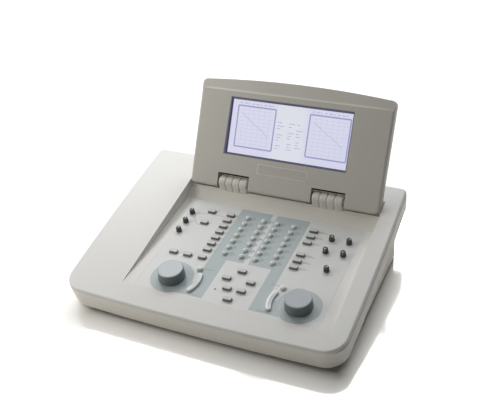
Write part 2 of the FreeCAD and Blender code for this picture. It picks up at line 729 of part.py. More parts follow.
def bar_pieces(name, x, side, grow, low, high):
    """A curved bar about a dial: a sector of a ring with round ends, grown by a gap all round."""
    half = bar_width / 2 + grow
    depth = high - low
    sector = doc.addObject("Part::Cylinder", f"{name}_outer")
    bind(sector, "Radius", bar_radius + half)
    bind(sector, "Height", depth)
    bind(sector, "Angle", bar_sweep)
    start = -bar_start if side > 0 else 180 + bar_start - bar_sweep
    sector.Placement = Placement(Vector(), Rotation(Z_AXIS, start.value))
    for letter, size in zip("xyz", (x, dial_along, low)):
        bind(sector, f"Placement.Base.{letter}", size)
    inner = rod(f"{name}_inner", (x, dial_along, low), bar_radius - half, depth)
    ends = []
    for n, angle in enumerate((start, start + bar_sweep)):
        place = (x + bar_radius * cosine(angle), dial_along + bar_radius * sine(angle), low)
        ends.append(rod(f"{name}_end_{n + 1}", place, half, depth))
    return fuse(f"{name}_form", [cut(f"{name}_sector", sector, inner)] + ends)


def bar_button_place(x, side):
    return (x + side * bar_radius * cosine(bar_button_angle),
            dial_along + bar_radius * sine(bar_button_angle))


def panel_holes():
    """One cutter for every key, bar, dial and knob hole in the plate and the film."""
    low, depth = -FILM_UNDER * 2, FILM_UNDER * 3
    oblong_hole = (oblong_width + 2 * key_gap, oblong_depth + 2 * key_gap, depth)
    cutters = []
    for c, x in enumerate(ROUND_COLUMNS):
        for r in range(ROWS):
            cutters.append(rod(f"round_hole_{c + 1}_{r + 1}", (x, back_row - round_pitch * r, low),
                               round_radius + key_gap, depth))
    for name, x, first, count in OBLONG_KEYS:
        for r in range(count):
            corner = (x - oblong_width / 2 - key_gap,
                      first - round_pitch * r - oblong_depth / 2 - key_gap, low)
            cutters.append(block(f"{name}_hole_{r + 1}", corner, oblong_hole))
            if name == "left_column_keys" and r == 0:
                apart = (corner[0], corner[1] - key_apart, low)
                cutters.append(block(f"{name}_hole_apart", apart, oblong_hole))
    for name, x, along in KNOBS:
        cutters.append(rod(f"{name}_hole", (x, along, low), knob_shaft + shaft_room, depth))
    for name, x, side in DIALS:
        cutters.append(rod(f"{name}_dial_hole", (x, dial_along, low), dial_shaft + shaft_room, depth))
        cutters.append(bar_pieces(f"{name}_bar_hole", x, side, key_gap, low, low + depth))
        button = bar_button_place(x, side)
        cutters.append(rod(f"{name}_button_hole", (button[0], button[1], low),
                           bar_button_radius + key_gap, depth))
    return group("panel_holes", cutters)


def panel_sheet(name, low, high, inset=0.0):
    left = well_centre - panel_width / 2 + inset
    front = panel_front + inset
    return block(name, (left, front, low),
                 (panel_width - 2 * as_size(inset), panel_length - 2 * as_size(inset), as_size(high) - low))


SPACER_PLACES = [(well_centre + side * 158, along) for side in (-1, 1)
                 for along in (panel_front + 10, panel_front + 122, panel_front + panel_length - 8)]


def make_panel():
    holes = panel_holes()
    keep(cut("control_panel", panel_sheet("plate_blank", -FILM_UNDER, -film_thick), holes), PANEL)
    keep(cut("panel_overlay", panel_sheet("film_blank", -film_thick, 0), holes), PANEL)
    board = panel_sheet("keypad_board_sheet", -board_drop - board_thick, -board_drop, 4)
    keep(group("keypad_board", [board]), PANEL)
    reach = oblong_width / 2 + mat_side
    mat_left, mat_right = LEFT_ROW_X - reach, RIGHT_KEYS_X + reach
    mat = block("mat_blank", (mat_left, panel_front + mat_margin, -board_drop),
                (mat_right - mat_left, panel_length - mat_margin * 2, mat_thick))
    half = encoder_side / 2 + 1
    rooms = [block(f"{name}_encoder_room", (x - half, dial_along - half, -board_drop),
                   (half * 2, half * 2, mat_thick * 2)) for name, x, side in DIALS]
    keep(cut("keypad_mat", mat, group("mat_rooms", rooms)), PANEL)
    spacers = [rod(f"spacer_{i + 1}", (x, along, -board_drop), spacer_radius, board_drop - FILM_UNDER)
               for i, (x, along) in enumerate(SPACER_PLACES)]
    keep(group("panel_spacers", spacers), PANEL)


def bored_body(name, x, along, side, shaft):
    """A square component on the keypad board with a blind bore for its shaft."""
    tall = board_drop - FILM_UNDER - under_gap
    body = block(f"{name}_case", (x - side / 2, along - side / 2, -board_drop), (side, side, tall))
    bore = rod(f"{name}_bore", (x, along, -board_drop + 0.5), shaft + shaft_fit, tall)
    return cut(f"{name}_bored", body, bore)


def make_turned_bodies():
    keep(group("dial_encoders", [bored_body(f"{name}_encoder", x, dial_along, encoder_side, dial_shaft)
                                 for name, x, side in DIALS]), PANEL)
    keep(group("knob_potentiometers", [bored_body(f"{name}_pot", x, along, pot_side, knob_shaft)
                                       for name, x, along in KNOBS]), PANEL)


# ---------------------------------------------------------------- keys, bars, knobs and dials

def turned(body, profile_sketch):
    feature = body.newObject("PartDesign::Revolution", f"{body.Label}_turn")
    feature.Profile = profile_sketch
    feature.ReferenceAxis = (profile_sketch, ["V_Axis"])
    feature.Angle = 360
    doc.recompute()
    return feature


def repeat(body, features, step, count):
    """Repeat features towards the front of the panel."""
    pattern = body.newObject("PartDesign::LinearPattern", f"{body.Label}_row")
    pattern.Originals = features
    axis = [part for part in body.Origin.OriginFeatures if part.Role == "Y_Axis"][0]
    pattern.Direction = (axis, [""])
    pattern.Reversed = True
    bind(pattern, "Length", step * (count - 1))
    pattern.Occurrences = count
    body.Tip = pattern
    doc.recompute()
    return pattern


def make_round_key(label, x, along, radius, height, count=1):
    """A domed round key with its stem and the flange that keeps it under the plate."""
    body = new_body(label, separate_solids=count > 1)
    side = new_sketch(body, "XZ_Plane", "side")
    lip, under = radius + key_gap + flange_lip, -FILM_UNDER - under_gap
    shoulder = height * 0.72
    polygon(side, [(0, -KEY_FLOOR + key_travel), (radius * 0.6, -KEY_FLOOR + key_travel),
                   (radius * 0.6, under - flange_thick), (lip, under - flange_thick), (lip, under),
                   (radius, under), (radius, shoulder), (radius * 0.9, height * 0.88),
                   (radius * 0.6, height * 0.98), (0, height)])
    feature = turned(body, side)
    if count > 1:
        repeat(body, [feature], round_pitch, count)
    return keep(body, PANEL * Placement(Vector(x.value, along.value, 0), Rotation()))


def oblong_features(body, along=0.0):
    """Cap, flange and stem of one oblong key."""
    under, along, reach = -FILM_UNDER - under_gap, as_size(along), key_gap + flange_lip
    tag = "apart" if along.value else "first"
    cap = new_sketch(body, "XY_Plane", f"cap_{tag}", under - flange_thick)
    rectangle(cap, -oblong_width / 2, along - oblong_depth / 2, oblong_width, oblong_depth)
    flange = new_sketch(body, "XY_Plane", f"flange_{tag}", under - flange_thick)
    rectangle(flange, -oblong_width / 2 - reach, along - oblong_depth / 2 - reach,
              oblong_width + 2 * reach, oblong_depth + 2 * reach)
    stem = new_sketch(body, "XY_Plane", f"stem_{tag}", -KEY_FLOOR + key_travel)
    circle(stem, (0, along), oblong_depth / 2 - 0.5)
    return [pad(body, cap, oblong_height - under + flange_thick), pad(body, flange, flange_thick),
            pad(body, stem, KEY_FLOOR - key_travel + under - flange_thick + 0.2)]


def make_oblong_key(label, x, along, count, apart=None):
    body = new_body(label, separate_solids=count > 1)
    features = oblong_features(body)
    if count > 1:
        repeat(body, features, round_pitch, count)
    if apart is not None:
        oblong_features(body, -apart)
    fillet(body, 0.9, lambda edge: lies_at(edge, 2, oblong_height.value))
    return keep(body, PANEL * Placement(Vector(x.value, along.value, 0), Rotation()))


def make_bar(name, x, side):
    under = -FILM_UNDER - under_gap
    cap = bar_pieces(f"{name}_bar_cap", x, side, as_size(0), under - flange_thick, bar_height)
    flange = bar_pieces(f"{name}_bar_flange", x, side, key_gap + flange_lip, under - flange_thick, under)
    whole = fuse(f"{name}_bar_whole", [cap, flange])
    doc.recompute()
    made = doc.addObject("Part::Fillet", f"{name}_present_bar")
    made.Label = f"{name}_present_bar"
    made.Base = whole
    made.Edges = [(n + 1, 1.6, 1.6) for n, edge in enumerate(whole.Shape.Edges)
                  if lies_at(edge, 2, bar_height.value)]
    return keep(made, PANEL)


def make_knob(label, x, along):
    body = new_body(label)
    side = new_sketch(body, "XZ_Plane", "side")
    foot, top = knob_lift, knob_lift + knob_height * 0.72
    polygon(side, [(0, -board_drop + 1), (knob_shaft, -board_drop + 1), (knob_shaft, foot),
                   (knob_radius, foot), (knob_radius, foot + 1.6), (knob_top_radius, foot + 2.4),
                   (knob_top_radius, top), (0, top)])
    turned(body, side)
    fin = new_sketch(body, "XY_Plane", "fin", foot + 1)
    rectangle(fin, -1.1, -knob_radius * 0.9, 2.2, knob_radius * 1.8)
    pad(body, fin, knob_height - 1)
    fillet(body, 0.6, lambda edge: lies_at(edge, 2, foot.value + knob_height.value))
    return keep(body, PANEL * Placement(Vector(x.value, along.value, 0), Rotation()))


def make_dial(name, x):
    body = new_body(f"{name}_dial")
    side = new_sketch(body, "XZ_Plane", "side")
    foot, top = dial_lift, dial_lift + dial_height
    polygon(side, [(0, -board_drop + 1), (dial_shaft, -board_drop + 1), (dial_shaft, foot + 4),
                   (dial_radius - 5, foot + 4), (dial_radius - 3, foot), (dial_radius, foot),
                   (dial_top_radius, top), (0, top)])
    turned(body, side)
    fillet(body, 1.4, lambda edge: lies_at(edge, 2, top.value))
    return keep(body, PANEL * Placement(Vector(x.value, dial_along.value, 0), Rotation()))


def make_controls():
    for n, x in enumerate(ROUND_COLUMNS):
        make_round_key(f"round_keys_{n + 1}", x, back_row, round_radius, round_height, ROWS)
    for name, x, along, count in OBLONG_KEYS:
        make_oblong_key(name, x, along, count, key_apart if name == "left_column_keys" else None)
    for name, x, along in KNOBS:
        make_knob(name, x, along)
    for name, x, side in DIALS:
        make_dial(name, x)
        make_bar(name, x, side)
        place = bar_button_place(x, side)
        make_round_key(f"{name}_bar_button", place[0], place[1], bar_button_radius, round_height)


# ---------------------------------------------------------------- display lid

NOTCHES = [("left", well_centre - notch_left), ("right", well_centre + notch_right)]
LID_SCREWS = [(well_centre + side * (lid_width / 2 - 14), height)
              for side in (-1, 1) for height in (24.0, lid_height - 16)]
BOSS_RADIUS = 4.5
LID_SCREW_RADIUS = 1.5


def lid_form(label, face, depth, inset, brow=False):
    """The outside of one lid shell, or with an inset its inside, from the seam to its face."""
    inset = as_size(inset)
    body = new_body(label)
    sketch = new_sketch(body, "XZ_Plane", "outline", lid_seam)
    half = lid_width / 2 - inset
    corners = [(well_centre - half, inset - lid_foot), (well_centre + half, inset - lid_foot),
               (well_centre + half, lid_height - inset), (well_centre - half, lid_height - inset)]
    bowed_outline(sketch, corners, [None, None, lid_arch, None])
    pad(body, sketch, depth - inset, reverse=face.value > 0)
    fillet(body, lid_corner - inset, lambda edge: is_upright(edge, Y_AXIS))
    level = face.value - math.copysign(inset.value, face.value)
    fillet(body, lid_round - inset, lambda edge: lies_at(edge, 1, level))
    if brow:
        side = new_sketch(body, "YZ_Plane", "brow", well_centre)
        start, top = face + inset, lid_height + lid_arch + 1
        polygon(side, [(start + brow_ledge, ridge_height), (start + brow_depth, top),
                       (start - 5, top), (start - 5, ridge_height)])
        pocket(body, side, lid_width * 1.2, both_ways=True)
    for name, middle in NOTCHES:
        notch = new_sketch(body, "XZ_Plane", f"{name}_notch", -lid_back * 2)
        rectangle(notch, middle - notch_width / 2 - inset, -lid_foot * 2, notch_width + inset * 2,
                  notch_height + inset + lid_foot * 2)
        pocket(body, notch, (lid_front + lid_back) * 3, reverse=True)
    return body


def lid_shell(name, face, depth, brow=False):
    outside = lid_form(f"{name}_outside", face, depth, 0.0, brow)
    inside = lid_form(f"{name}_inside", face, depth, lid_wall, brow)
    return cut(f"{name}_shell", outside, inside)


def make_lid_bezel():
    depth = lid_front - lid_seam
    pieces = [lid_shell("bezel", -lid_front, depth, brow=True)]
    pieces += [rod(f"bezel_boss_{i + 1}", (x, lid_wall - lid_front - 0.5, height), BOSS_RADIUS,
                   depth - lid_wall + 0.5, along="y") for i, (x, height) in enumerate(LID_SCREWS)]
    tools = [block("screen_opening", (screen_centre - screen_width / 2, -lid_front - 1, screen_foot),
                   (screen_width, lid_front, screen_height)),
             block("plate_recess", (plate_left, -lid_front - 1, plate_foot),
                   (plate_width, plate_sink + 1, plate_height))]
    tools += [rod(f"bezel_bore_{i + 1}", (x, lid_wall - lid_front, height), LID_SCREW_RADIUS, depth,
                  along="y") for i, (x, height) in enumerate(LID_SCREWS)]
    keep(cut("lid_bezel", fuse("bezel_solid", pieces), group("bezel_tools", tools)), LID)


def make_lid_back_cover():
    depth = lid_back + lid_seam
    pieces = [lid_shell("back", lid_back, depth)]
    pieces += [rod(f"back_boss_{i + 1}", (x, -lid_seam, height), BOSS_RADIUS, depth - 0.5, along="y")
               for i, (x, height) in enumerate(LID_SCREWS)]
    tools = []
    for name, middle in NOTCHES:
        for n, side in enumerate((-1, 1)):
            edge = middle + side * notch_width / 2
            left = edge if side > 0 else edge - pin_hold
            pieces.append(block(f"{name}_pin_hold_{n + 1}", (left, -pin_radius - 0.8, -pin_boss),
                                (pin_hold, lid_back + pin_radius + 0.3, pin_boss * 2)))
        tools.append(rod(f"{name}_pin_bore", (middle - notch_width / 2 - pin_hold, 0, 0), pin_radius,
                         notch_width + pin_hold * 2, along="x"))
    for i, (x, height) in enumerate(LID_SCREWS):
        tools.append(rod(f"back_bore_{i + 1}", (x, -lid_back, height), LID_SCREW_RADIUS, lid_back * 3,
                         along="y"))
        tools.append(rod(f"back_sink_{i + 1}", (x, lid_back - 1.2, height), LID_SCREW_RADIUS * 2, 3,
                         along="y"))
    keep(cut("lid_back_cover", fuse("back_solid", pieces), group("back_tools", tools)), LID)


def make_lid_fittings():
    window_y = lid_wall - lid_front
    window_left = screen_centre - screen_width / 2 - window_lap
    window_sides = (screen_width + 2 * window_lap, window_thick, screen_height + 2 * window_lap)
    window = block("window_sheet", (window_left, window_y, screen_foot - window_lap), window_sides)
    keep(group("screen_window", [window]), LID)
    module = block("lcd_case", (window_left - 1, window_y + window_thick, screen_foot - window_lap - 1),
                   (screen_width + 2 * window_lap + 2, lcd_thick, screen_height + 2 * window_lap + 2))
    keep(group("lcd_module", [module]), LID)
    board_y = window_y + window_thick + lcd_thick
    board = block("display_board_sheet", (screen_centre - 70, board_y, screen_foot + 12),
                  (140, board_thick, 76))
    chips = [block("display_chip", (screen_centre - 14, board_y, screen_foot + 36), (22, 3.2, 22)),
             block("display_socket", (screen_centre + 36, board_y, screen_foot + 18), (26, 5, 7)),
             block("display_coil", (screen_centre - 58, board_y, screen_foot + 58), (16, 4.5, 16))]
    keep(fuse("display_board", [board] + chips), LID)
    plate = block("name_plate_blank",
                  (plate_left + panel_fit, -lid_front - plate_proud, plate_foot + panel_fit),
                  (plate_width - 2 * panel_fit, plate_sink + plate_proud, plate_height - 2 * panel_fit))
    keep(group("name_plate", [plate]), LID)
    pins = [rod(f"{name}_hinge_pin", (middle - notch_width / 2 - pin_hold, 0, 0), pin_radius,
                notch_width + 2 * pin_hold, along="x") for name, middle in NOTCHES]
    keep(group("hinge_pins", pins), LID)
    screws = []
    for i, (x, height) in enumerate(LID_SCREWS):
        shaft_foot = lid_wall - lid_front
        shaft = rod(f"lid_screw_{i + 1}_shaft", (x, shaft_foot, height), LID_SCREW_RADIUS,
                    lid_back - 1.2 - shaft_foot, along="y")
        head = rod(f"lid_screw_{i + 1}_head", (x, lid_back - 1.2, height), LID_SCREW_RADIUS * 2, 1.0,
                   along="y")
        screws.append(fuse(f"lid_screw_{i + 1}", [shaft, head]))
    keep(group("lid_screws", screws), LID)


# ---------------------------------------------------------------- hinge towers

def make_towers():
    space = new_body("well_space")
    for n, side in enumerate(well_profiles(space)):
        pad(space, side, well_width, both_ways=True)
    for name, middle in NOTCHES:
        left = middle - tower_width / 2
        barrel = rod(f"{name}_barrel", (left, hinge_along, hinge_rise), tower_radius, tower_width, along="x")
        web = block(f"{name}_web", (left, hinge_along - tower_radius, hinge_rise - 40),
                    (tower_width, tower_radius * 2, 40))
        outer = doc.addObject("Part::Common", f"{name}_trimmed")
        outer.Base = fuse(f"{name}_blank", [barrel, web])
        outer.Tool = space
        grooves = []
        for n in range(3):
            x = left + tower_width * (n + 1) / 4 - rib_groove / 2
            ring = rod(f"{name}_ring_{n + 1}", (x, hinge_along, hinge_rise), tower_radius * 2.5,
                       rib_groove, along="x")
            core = rod(f"{name}_core_{n + 1}", (x, hinge_along, hinge_rise), tower_radius - rib_groove,
                       rib_groove, along="x")
            keel = block(f"{name}_keel_{n + 1}",
                         (x, hinge_along - tower_radius + rib_groove, hinge_rise - 40),
                         (rib_groove, (tower_radius - rib_groove) * 2, 40))
            grooves.append(cut(f"{name}_groove_{n + 1}", ring, fuse(f"{name}_kept_{n + 1}", [core, keel])))
        bore = rod(f"{name}_bore", (left - 1, hinge_along, hinge_rise), pin_radius + shaft_fit,
                   tower_width + 2, along="x")
        tools = group(f"{name}_tower_tools", grooves + [bore])
        keep(cut(f"{name}_hinge_tower", outer, tools), SLAB)


# ---------------------------------------------------------------- inside the base pan

speaker_x, speaker_y = as_size(-180), as_size(40)
PAN_FLOOR = foot_height + pan_wall


def make_inside():
    legs = 5
    left, front, wide, deep = -130, -70, 250, 170
    sheet_z = PAN_FLOOR + legs
    board = block("main_sheet", (left, front, sheet_z), (wide, deep, board_thick))
    top = sheet_z + board_thick
    parts = [block("main_processor", (-40, 10, top), (34, 34, 3)),
             block("main_memory", (10, 16, top), (14, 24, 1.6)),
             block("main_shield", (-118, 0, top), (60, 84, 9)),
             block("main_transformer", (60, 60, top), (28, 24, 16)),
             block("main_ribbon_socket", (-60, -52, top), (70, 8, 9)),
             block("main_relay_row", (34, -20, top), (60, 15, 11))]
    parts += [rod(f"main_capacitor_{n + 1}", (66 + 16 * n, 30, top), 5, 13) for n in range(3)]
    standoffs = [rod(f"main_standoff_{n + 1}", (x, y, PAN_FLOOR), 3, legs + 0.4) for n, (x, y) in enumerate(
        (left + dx, front + dy) for dx in (8, wide - 8) for dy in (8, deep / 2, deep - 8))]
    keep(fuse("main_board", [board] + parts + standoffs), Placement())

    supply = [block("supply_case", (140, 10, PAN_FLOOR), (76, 96, 30)),
              block("supply_terminals", (150, 106, PAN_FLOOR + 2), (54, 6, 14))]
    keep(fuse("power_supply", supply), Placement())

    frame = rod("speaker_frame", (speaker_x, speaker_y, PAN_FLOOR), 33, 3)
    cone = doc.addObject("Part::Cone", "speaker_cone")
    cone.Placement = Placement(Vector(), Rotation())
    for prop, size in (("Radius1", 29), ("Radius2", 15), ("Height", 12)):
        bind(cone, prop, size)
    for letter, size in zip("xyz", (speaker_x, speaker_y, PAN_FLOOR + 3)):
        bind(cone, f"Placement.Base.{letter}", size)
    magnet = rod("speaker_magnet", (speaker_x, speaker_y, PAN_FLOOR + 15), 18, 9)
    keep(fuse("monitor_speaker", [frame, cone, magnet]), Placement())


# ---------------------------------------------------------------- rear connectors

SOCKETS = 8
SOCKET_HEIGHT = rear_foot + rear_height / 2
INLET_WALL = 2.0
ROCKER_X = inlet_centre + rocker_offset
CAVITY_X = inlet_centre - 9


def make_rear_panel():
    plate = block("rear_plate", (-rear_width / 2, pan_back, rear_foot), (rear_width, rear_thick, rear_height))
    holes = [rod(f"socket_hole_{i + 1}", (socket_start + socket_pitch * i, pan_back - 1, SOCKET_HEIGHT),
                 socket_body, rear_thick + 2, along="y") for i in range(SOCKETS)]
    holes.append(block("inlet_hole", (inlet_centre - inlet_width / 2 + 2, pan_back - 1,
                                      SOCKET_HEIGHT - inlet_height / 2 + 2),
                       (inlet_width - 4, rear_thick + 2, inlet_height - 4)))
    keep(cut("rear_panel", plate, group("rear_holes", holes)), Placement())


def make_sockets():
    outer = pan_back + rear_thick
    sockets = []
    for i in range(SOCKETS):
        x = socket_start + socket_pitch * i
        barrel = rod(f"socket_{i + 1}_barrel", (x, outer - socket_depth, SOCKET_HEIGHT), socket_body,
                     socket_depth, along="y")
        nut = rod(f"socket_{i + 1}_nut", (x, outer, SOCKET_HEIGHT), socket_nut, 2.2, along="y")
        bore = rod(f"socket_{i + 1}_bore", (x, outer - socket_depth + 3, SOCKET_HEIGHT), socket_bore,
                   socket_depth, along="y")
        sockets.append(cut(f"socket_{i + 1}", fuse(f"socket_{i + 1}_form", [barrel, nut]), bore))
    keep(group("jack_sockets", sockets), Placement())


def make_inlet():
    outer = pan_back + rear_thick
    flange = block("inlet_flange", (inlet_centre - inlet_width / 2, outer, SOCKET_HEIGHT - inlet_height / 2),
                   (inlet_width, 3, inlet_height))
    case = block("inlet_case", (inlet_centre - inlet_width / 2 + 2.2, outer - inlet_depth,
                                SOCKET_HEIGHT - inlet_height / 2 + 2.2),
                 (inlet_width - 4.4, inlet_depth, inlet_height - 4.4))
    cavity = block("inlet_cavity", (CAVITY_X - 12, outer - 18, SOCKET_HEIGHT - 8.2), (24, 30, 16.4))
    room = block("rocker_room", (ROCKER_X - rocker_width / 2 - 0.4, outer - 14,
                                 SOCKET_HEIGHT - rocker_height / 2 - 0.4),
                 (rocker_width + 0.8, 30, rocker_height + 0.8))
    pivot = rod("rocker_pin_bore", (ROCKER_X - rocker_width / 2 - 2, outer - 3, SOCKET_HEIGHT),
                1 + shaft_fit, rocker_width + 4, along="x")
    pins = [block(f"inlet_pin_{n + 1}", (CAVITY_X + 7 * n - 8, outer - 19, SOCKET_HEIGHT - 2 + dz),
                  (2, 15, 4)) for n, dz in enumerate((-1.5, 2.0, -1.5))]
    hollowed = cut("inlet_hollowed", fuse("inlet_form", [flange, case]),
                   group("inlet_tools", [cavity, room, pivot]))
    keep(fuse("power_inlet", [hollowed] + pins), Placement())


def make_rocker():
    """A rocker on a pin through its middle; its two faces meet at a shallow angle."""
    body = new_body("power_rocker")
    side = new_sketch(body, "YZ_Plane", "side")
    half = rocker_height / 2
    polygon(side, [(-8, -3.5), (-8, 3.5), (1.5, half - 0.8), (4.2, half - 1.4), (2.4, 0),
                   (1.0, 0.9 - half), (-1.2, 0.8 - half)])
    pad(body, side, rocker_width, both_ways=True)
    pin = new_sketch(body, "YZ_Plane", "pin")
    circle(pin, (0, 0), 1)
    pad(body, pin, rocker_width + 3.6, both_ways=True)
    outer = pan_back.value + rear_thick.value
    return keep(body, Placement(Vector(ROCKER_X.value, outer - 3, SOCKET_HEIGHT.value), Rotation()))


# ---------------------------------------------------------------- build, check and write

make_top_cover()
make_lower_shell()
make_base_pan()
make_feet()
make_case_screws()
make_panel()
make_turned_bodies()
make_controls()
make_lid_bezel()
make_lid_back_cover()
make_lid_fittings()
make_towers()
make_inside()
make_rear_panel()
make_sockets()
make_inlet()
make_rocker()
doc.recompute()

for name, (made, frame) in nodes.items():
    made.Placement = frame * made.Placement
doc.recompute()

# The origin is under the middle of the whole object's box at rest, so every sub-part moves
# by the same step along Y.
whole = FreeCAD.BoundBox()
for made, frame in nodes.values():
    whole.add(made.Shape.optimalBoundingBox())
step = Placement(Vector(0, -whole.Center.y, 0), Rotation())
for made, frame in nodes.values():
    made.Placement = step * made.Placement
doc.recompute()

faults = []
for thing in doc.Objects:
    if "Invalid" in thing.State or "Error" in thing.State:
        faults.append(f"{thing.Label}: {thing.State}")
for name, (made, frame) in nodes.items():
    if made.Shape.isNull() or not made.Shape.isValid():
        faults.append(f"{name}: null or invalid shape")
if faults:
    raise SystemExit("\n".join(faults))

os.makedirs("parts", exist_ok=True)
for name, (made, frame) in nodes.items():
    made.Shape.exportStep(f"parts/{name}.step")
axis_now = step.multVec(AXIS_POINT)
rocker_now = nodes["power_rocker"][0].Placement.Base
print(f"{len(nodes)} nodes, {sum(len(made.Shape.Solids) for made, frame in nodes.values())} solids")
print("whole box", whole, "moved by", step.Base)
print("hinge axis", axis_now, "rocker axis", rocker_now)
print("panel origin", step.multVec(PANEL.Base), "panel tilt", slab_slope.value - well_angle.value,
      "back row", back_row.value)
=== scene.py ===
# %% [markdown]
# # A desktop audiometer
# A hearing tester is a wedge-shaped console. Its sunk panel holds two big level dials, rows of
# keys and small knobs, and a flat display sits in a lid that folds up on two ribbed hinge towers.
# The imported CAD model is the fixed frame. Here it gets moulded plastic, printed film, a lit
# display, soft light and a camera. Lengths are in metres, and X runs to the operator's right,
# Y to the back and Z up.

# %% Load the frame
import json
import math

import bpy
import numpy as np
from mathutils import Matrix, Vector


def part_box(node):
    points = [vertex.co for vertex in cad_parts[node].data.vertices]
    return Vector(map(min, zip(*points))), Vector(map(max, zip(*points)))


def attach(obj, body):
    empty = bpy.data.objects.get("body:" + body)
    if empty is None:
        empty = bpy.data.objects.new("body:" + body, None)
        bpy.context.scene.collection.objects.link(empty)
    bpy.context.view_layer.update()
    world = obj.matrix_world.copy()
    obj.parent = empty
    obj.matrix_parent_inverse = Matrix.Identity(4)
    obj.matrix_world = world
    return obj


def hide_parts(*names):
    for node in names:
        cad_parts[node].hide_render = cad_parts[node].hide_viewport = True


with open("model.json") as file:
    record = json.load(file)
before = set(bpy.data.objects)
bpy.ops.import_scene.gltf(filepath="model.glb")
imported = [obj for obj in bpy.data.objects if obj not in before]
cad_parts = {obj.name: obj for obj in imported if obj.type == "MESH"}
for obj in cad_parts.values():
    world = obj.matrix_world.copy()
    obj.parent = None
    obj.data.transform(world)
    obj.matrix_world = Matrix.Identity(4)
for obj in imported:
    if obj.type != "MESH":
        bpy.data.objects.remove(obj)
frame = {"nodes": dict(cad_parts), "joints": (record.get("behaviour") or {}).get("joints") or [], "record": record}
nodes = frame["nodes"]
joints = {joint["name"]: joint for joint in frame["joints"]}
MM = 0.001
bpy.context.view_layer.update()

# %% [markdown]
# ## Three tilted planes
# Nothing on the console is level. The slab rises to the back, the sunk panel rises less, and the
# lid leans back from its hinge. Each gets a small frame of its own, an origin with three
# directions, so that a key can be placed by how far along the panel it is. The panel's frame is
# read from a dial's joint, whose axis is square to the panel, and the lid's from its hinge.

# %% Frames for the slab, the panel and the lid


class Plane:
    """An origin and three directions: x across, v along the surface, h square to it."""

    def __init__(self, origin, x, h):
        self.origin = np.array(origin, float)
        self.x = np.array(x, float)
        self.h = np.array(h, float) / np.linalg.norm(h)
        self.v = np.cross(self.h, self.x)

    def place(self, points):
        """World places of points given as (across, along, above)."""
        points = np.asarray(points, float)
        return (self.origin + points[..., 0:1] * self.x + points[..., 1:2] * self.v
                + points[..., 2:3] * self.h)

    def read(self, point):
        """Across, along and above of a world point."""
        step = np.array(point, float) - self.origin
        return step @ self.x, step @ self.v, step @ self.h


RIGHT = (1.0, 0.0, 0.0)
dial_joint = joints["left_dial_turn"]
PANEL_SLOPE = math.asin(-dial_joint["axis"][1])
plate_low, plate_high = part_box("panel_overlay")
PANEL_CENTRE = (plate_low.x + plate_high.x) / 2
DIAL_ALONG = 39 * MM  # dials from the front line of the well
dial_point = np.array(dial_joint["pos_m"])
panel_up = np.array(dial_joint["axis"])
panel_back = np.cross(panel_up, RIGHT)
panel = Plane(dial_point - DIAL_ALONG * panel_back - [dial_point[0], 0, 0], RIGHT, panel_up)

LID_LEAN = math.radians(28.82)
hinge_point = np.array(joints["lid_hinge"]["pos_m"])
lid_up = np.array((0.0, math.sin(LID_LEAN), math.cos(LID_LEAN)))
lid_front = np.cross(RIGHT, lid_up)
lid = Plane([0, hinge_point[1], hinge_point[2]], RIGHT, lid_front)
SLAB_SLOPE = math.radians(10.94)
slab_up = np.array((0, -math.sin(SLAB_SLOPE), math.cos(SLAB_SLOPE)))
HINGE_RISE = 1.3 * MM  # hinge line above the slab's top
slab = Plane(hinge_point * (0, 1, 1) - HINGE_RISE * slab_up, RIGHT, slab_up)
print("panel slopes", round(math.degrees(PANEL_SLOPE), 2), "degrees, hinge at", hinge_point.round(4))

# %% [markdown]
# ## The camera
# The view is from the front right and above, with the camera turned a little about its own line
# of sight. The lens is 55 mm on a 36 mm sensor. The camera's matrix is put together from its
# azimuth, elevation and roll, around the middle of the slab. Blender keeps a lens, a lamp or a mesh
# apart from the object that places it, so a helper makes that object here and for all that follows.

# %% A new object in the scene


def add_object(name, data):
    """An object that holds this mesh, lamp or camera, linked to the scene."""
    made = bpy.data.objects.new(name, data)
    bpy.context.scene.collection.objects.link(made)
    return made


# %% Camera
AZIMUTH, ELEVATION, ROLL = math.radians(26.91), math.radians(33.46), math.radians(-4.94)
CAMERA_DISTANCE = 1.30569
FOCAL_PX, FRAME_WIDTH_PX, SENSOR_MM = 769.91, 500, 36.0
HINGE_BEHIND_MIDDLE = 123.46 * MM  # hinge line from the middle of the slab's length
AIM = np.array((30.08 * MM, hinge_point[1] - HINGE_BEHIND_MIDDLE, 146.61 * MM))

backward = np.array((math.sin(AZIMUTH) * math.cos(ELEVATION),
                     -math.cos(AZIMUTH) * math.cos(ELEVATION), math.sin(ELEVATION)))
across = np.cross(-backward, (0, 0, 1))
across /= np.linalg.norm(across)
upward = np.cross(across, -backward)
across, upward = (across * math.cos(ROLL) + upward * math.sin(ROLL),
                  upward * math.cos(ROLL) - across * math.sin(ROLL))
eye = AIM + backward * CAMERA_DISTANCE

lens = bpy.data.cameras.new("camera")
lens.sensor_width = SENSOR_MM
lens.lens = FOCAL_PX / FRAME_WIDTH_PX * SENSOR_MM
camera = add_object("camera", lens)
camera.matrix_world = Matrix(np.vstack([np.column_stack([across, upward, backward, eye]), [0, 0, 0, 1]]))
bpy.context.scene.camera = camera
print("camera at", eye.round(3), "lens", round(lens.lens, 2), "mm")

# %% [markdown]
# ## Shader sums as plain expressions
# A material's pattern is arithmetic on places: how far a point is from a dial, or whether it lies
# inside a printed band. `Field` wraps one socket, and its operators add the Math nodes, so a mask
# reads like a formula. `Recipe` makes every other node from its type, its settings and its
# inputs, and holds the surface shader of one material.

# %% A socket that can be added and multiplied


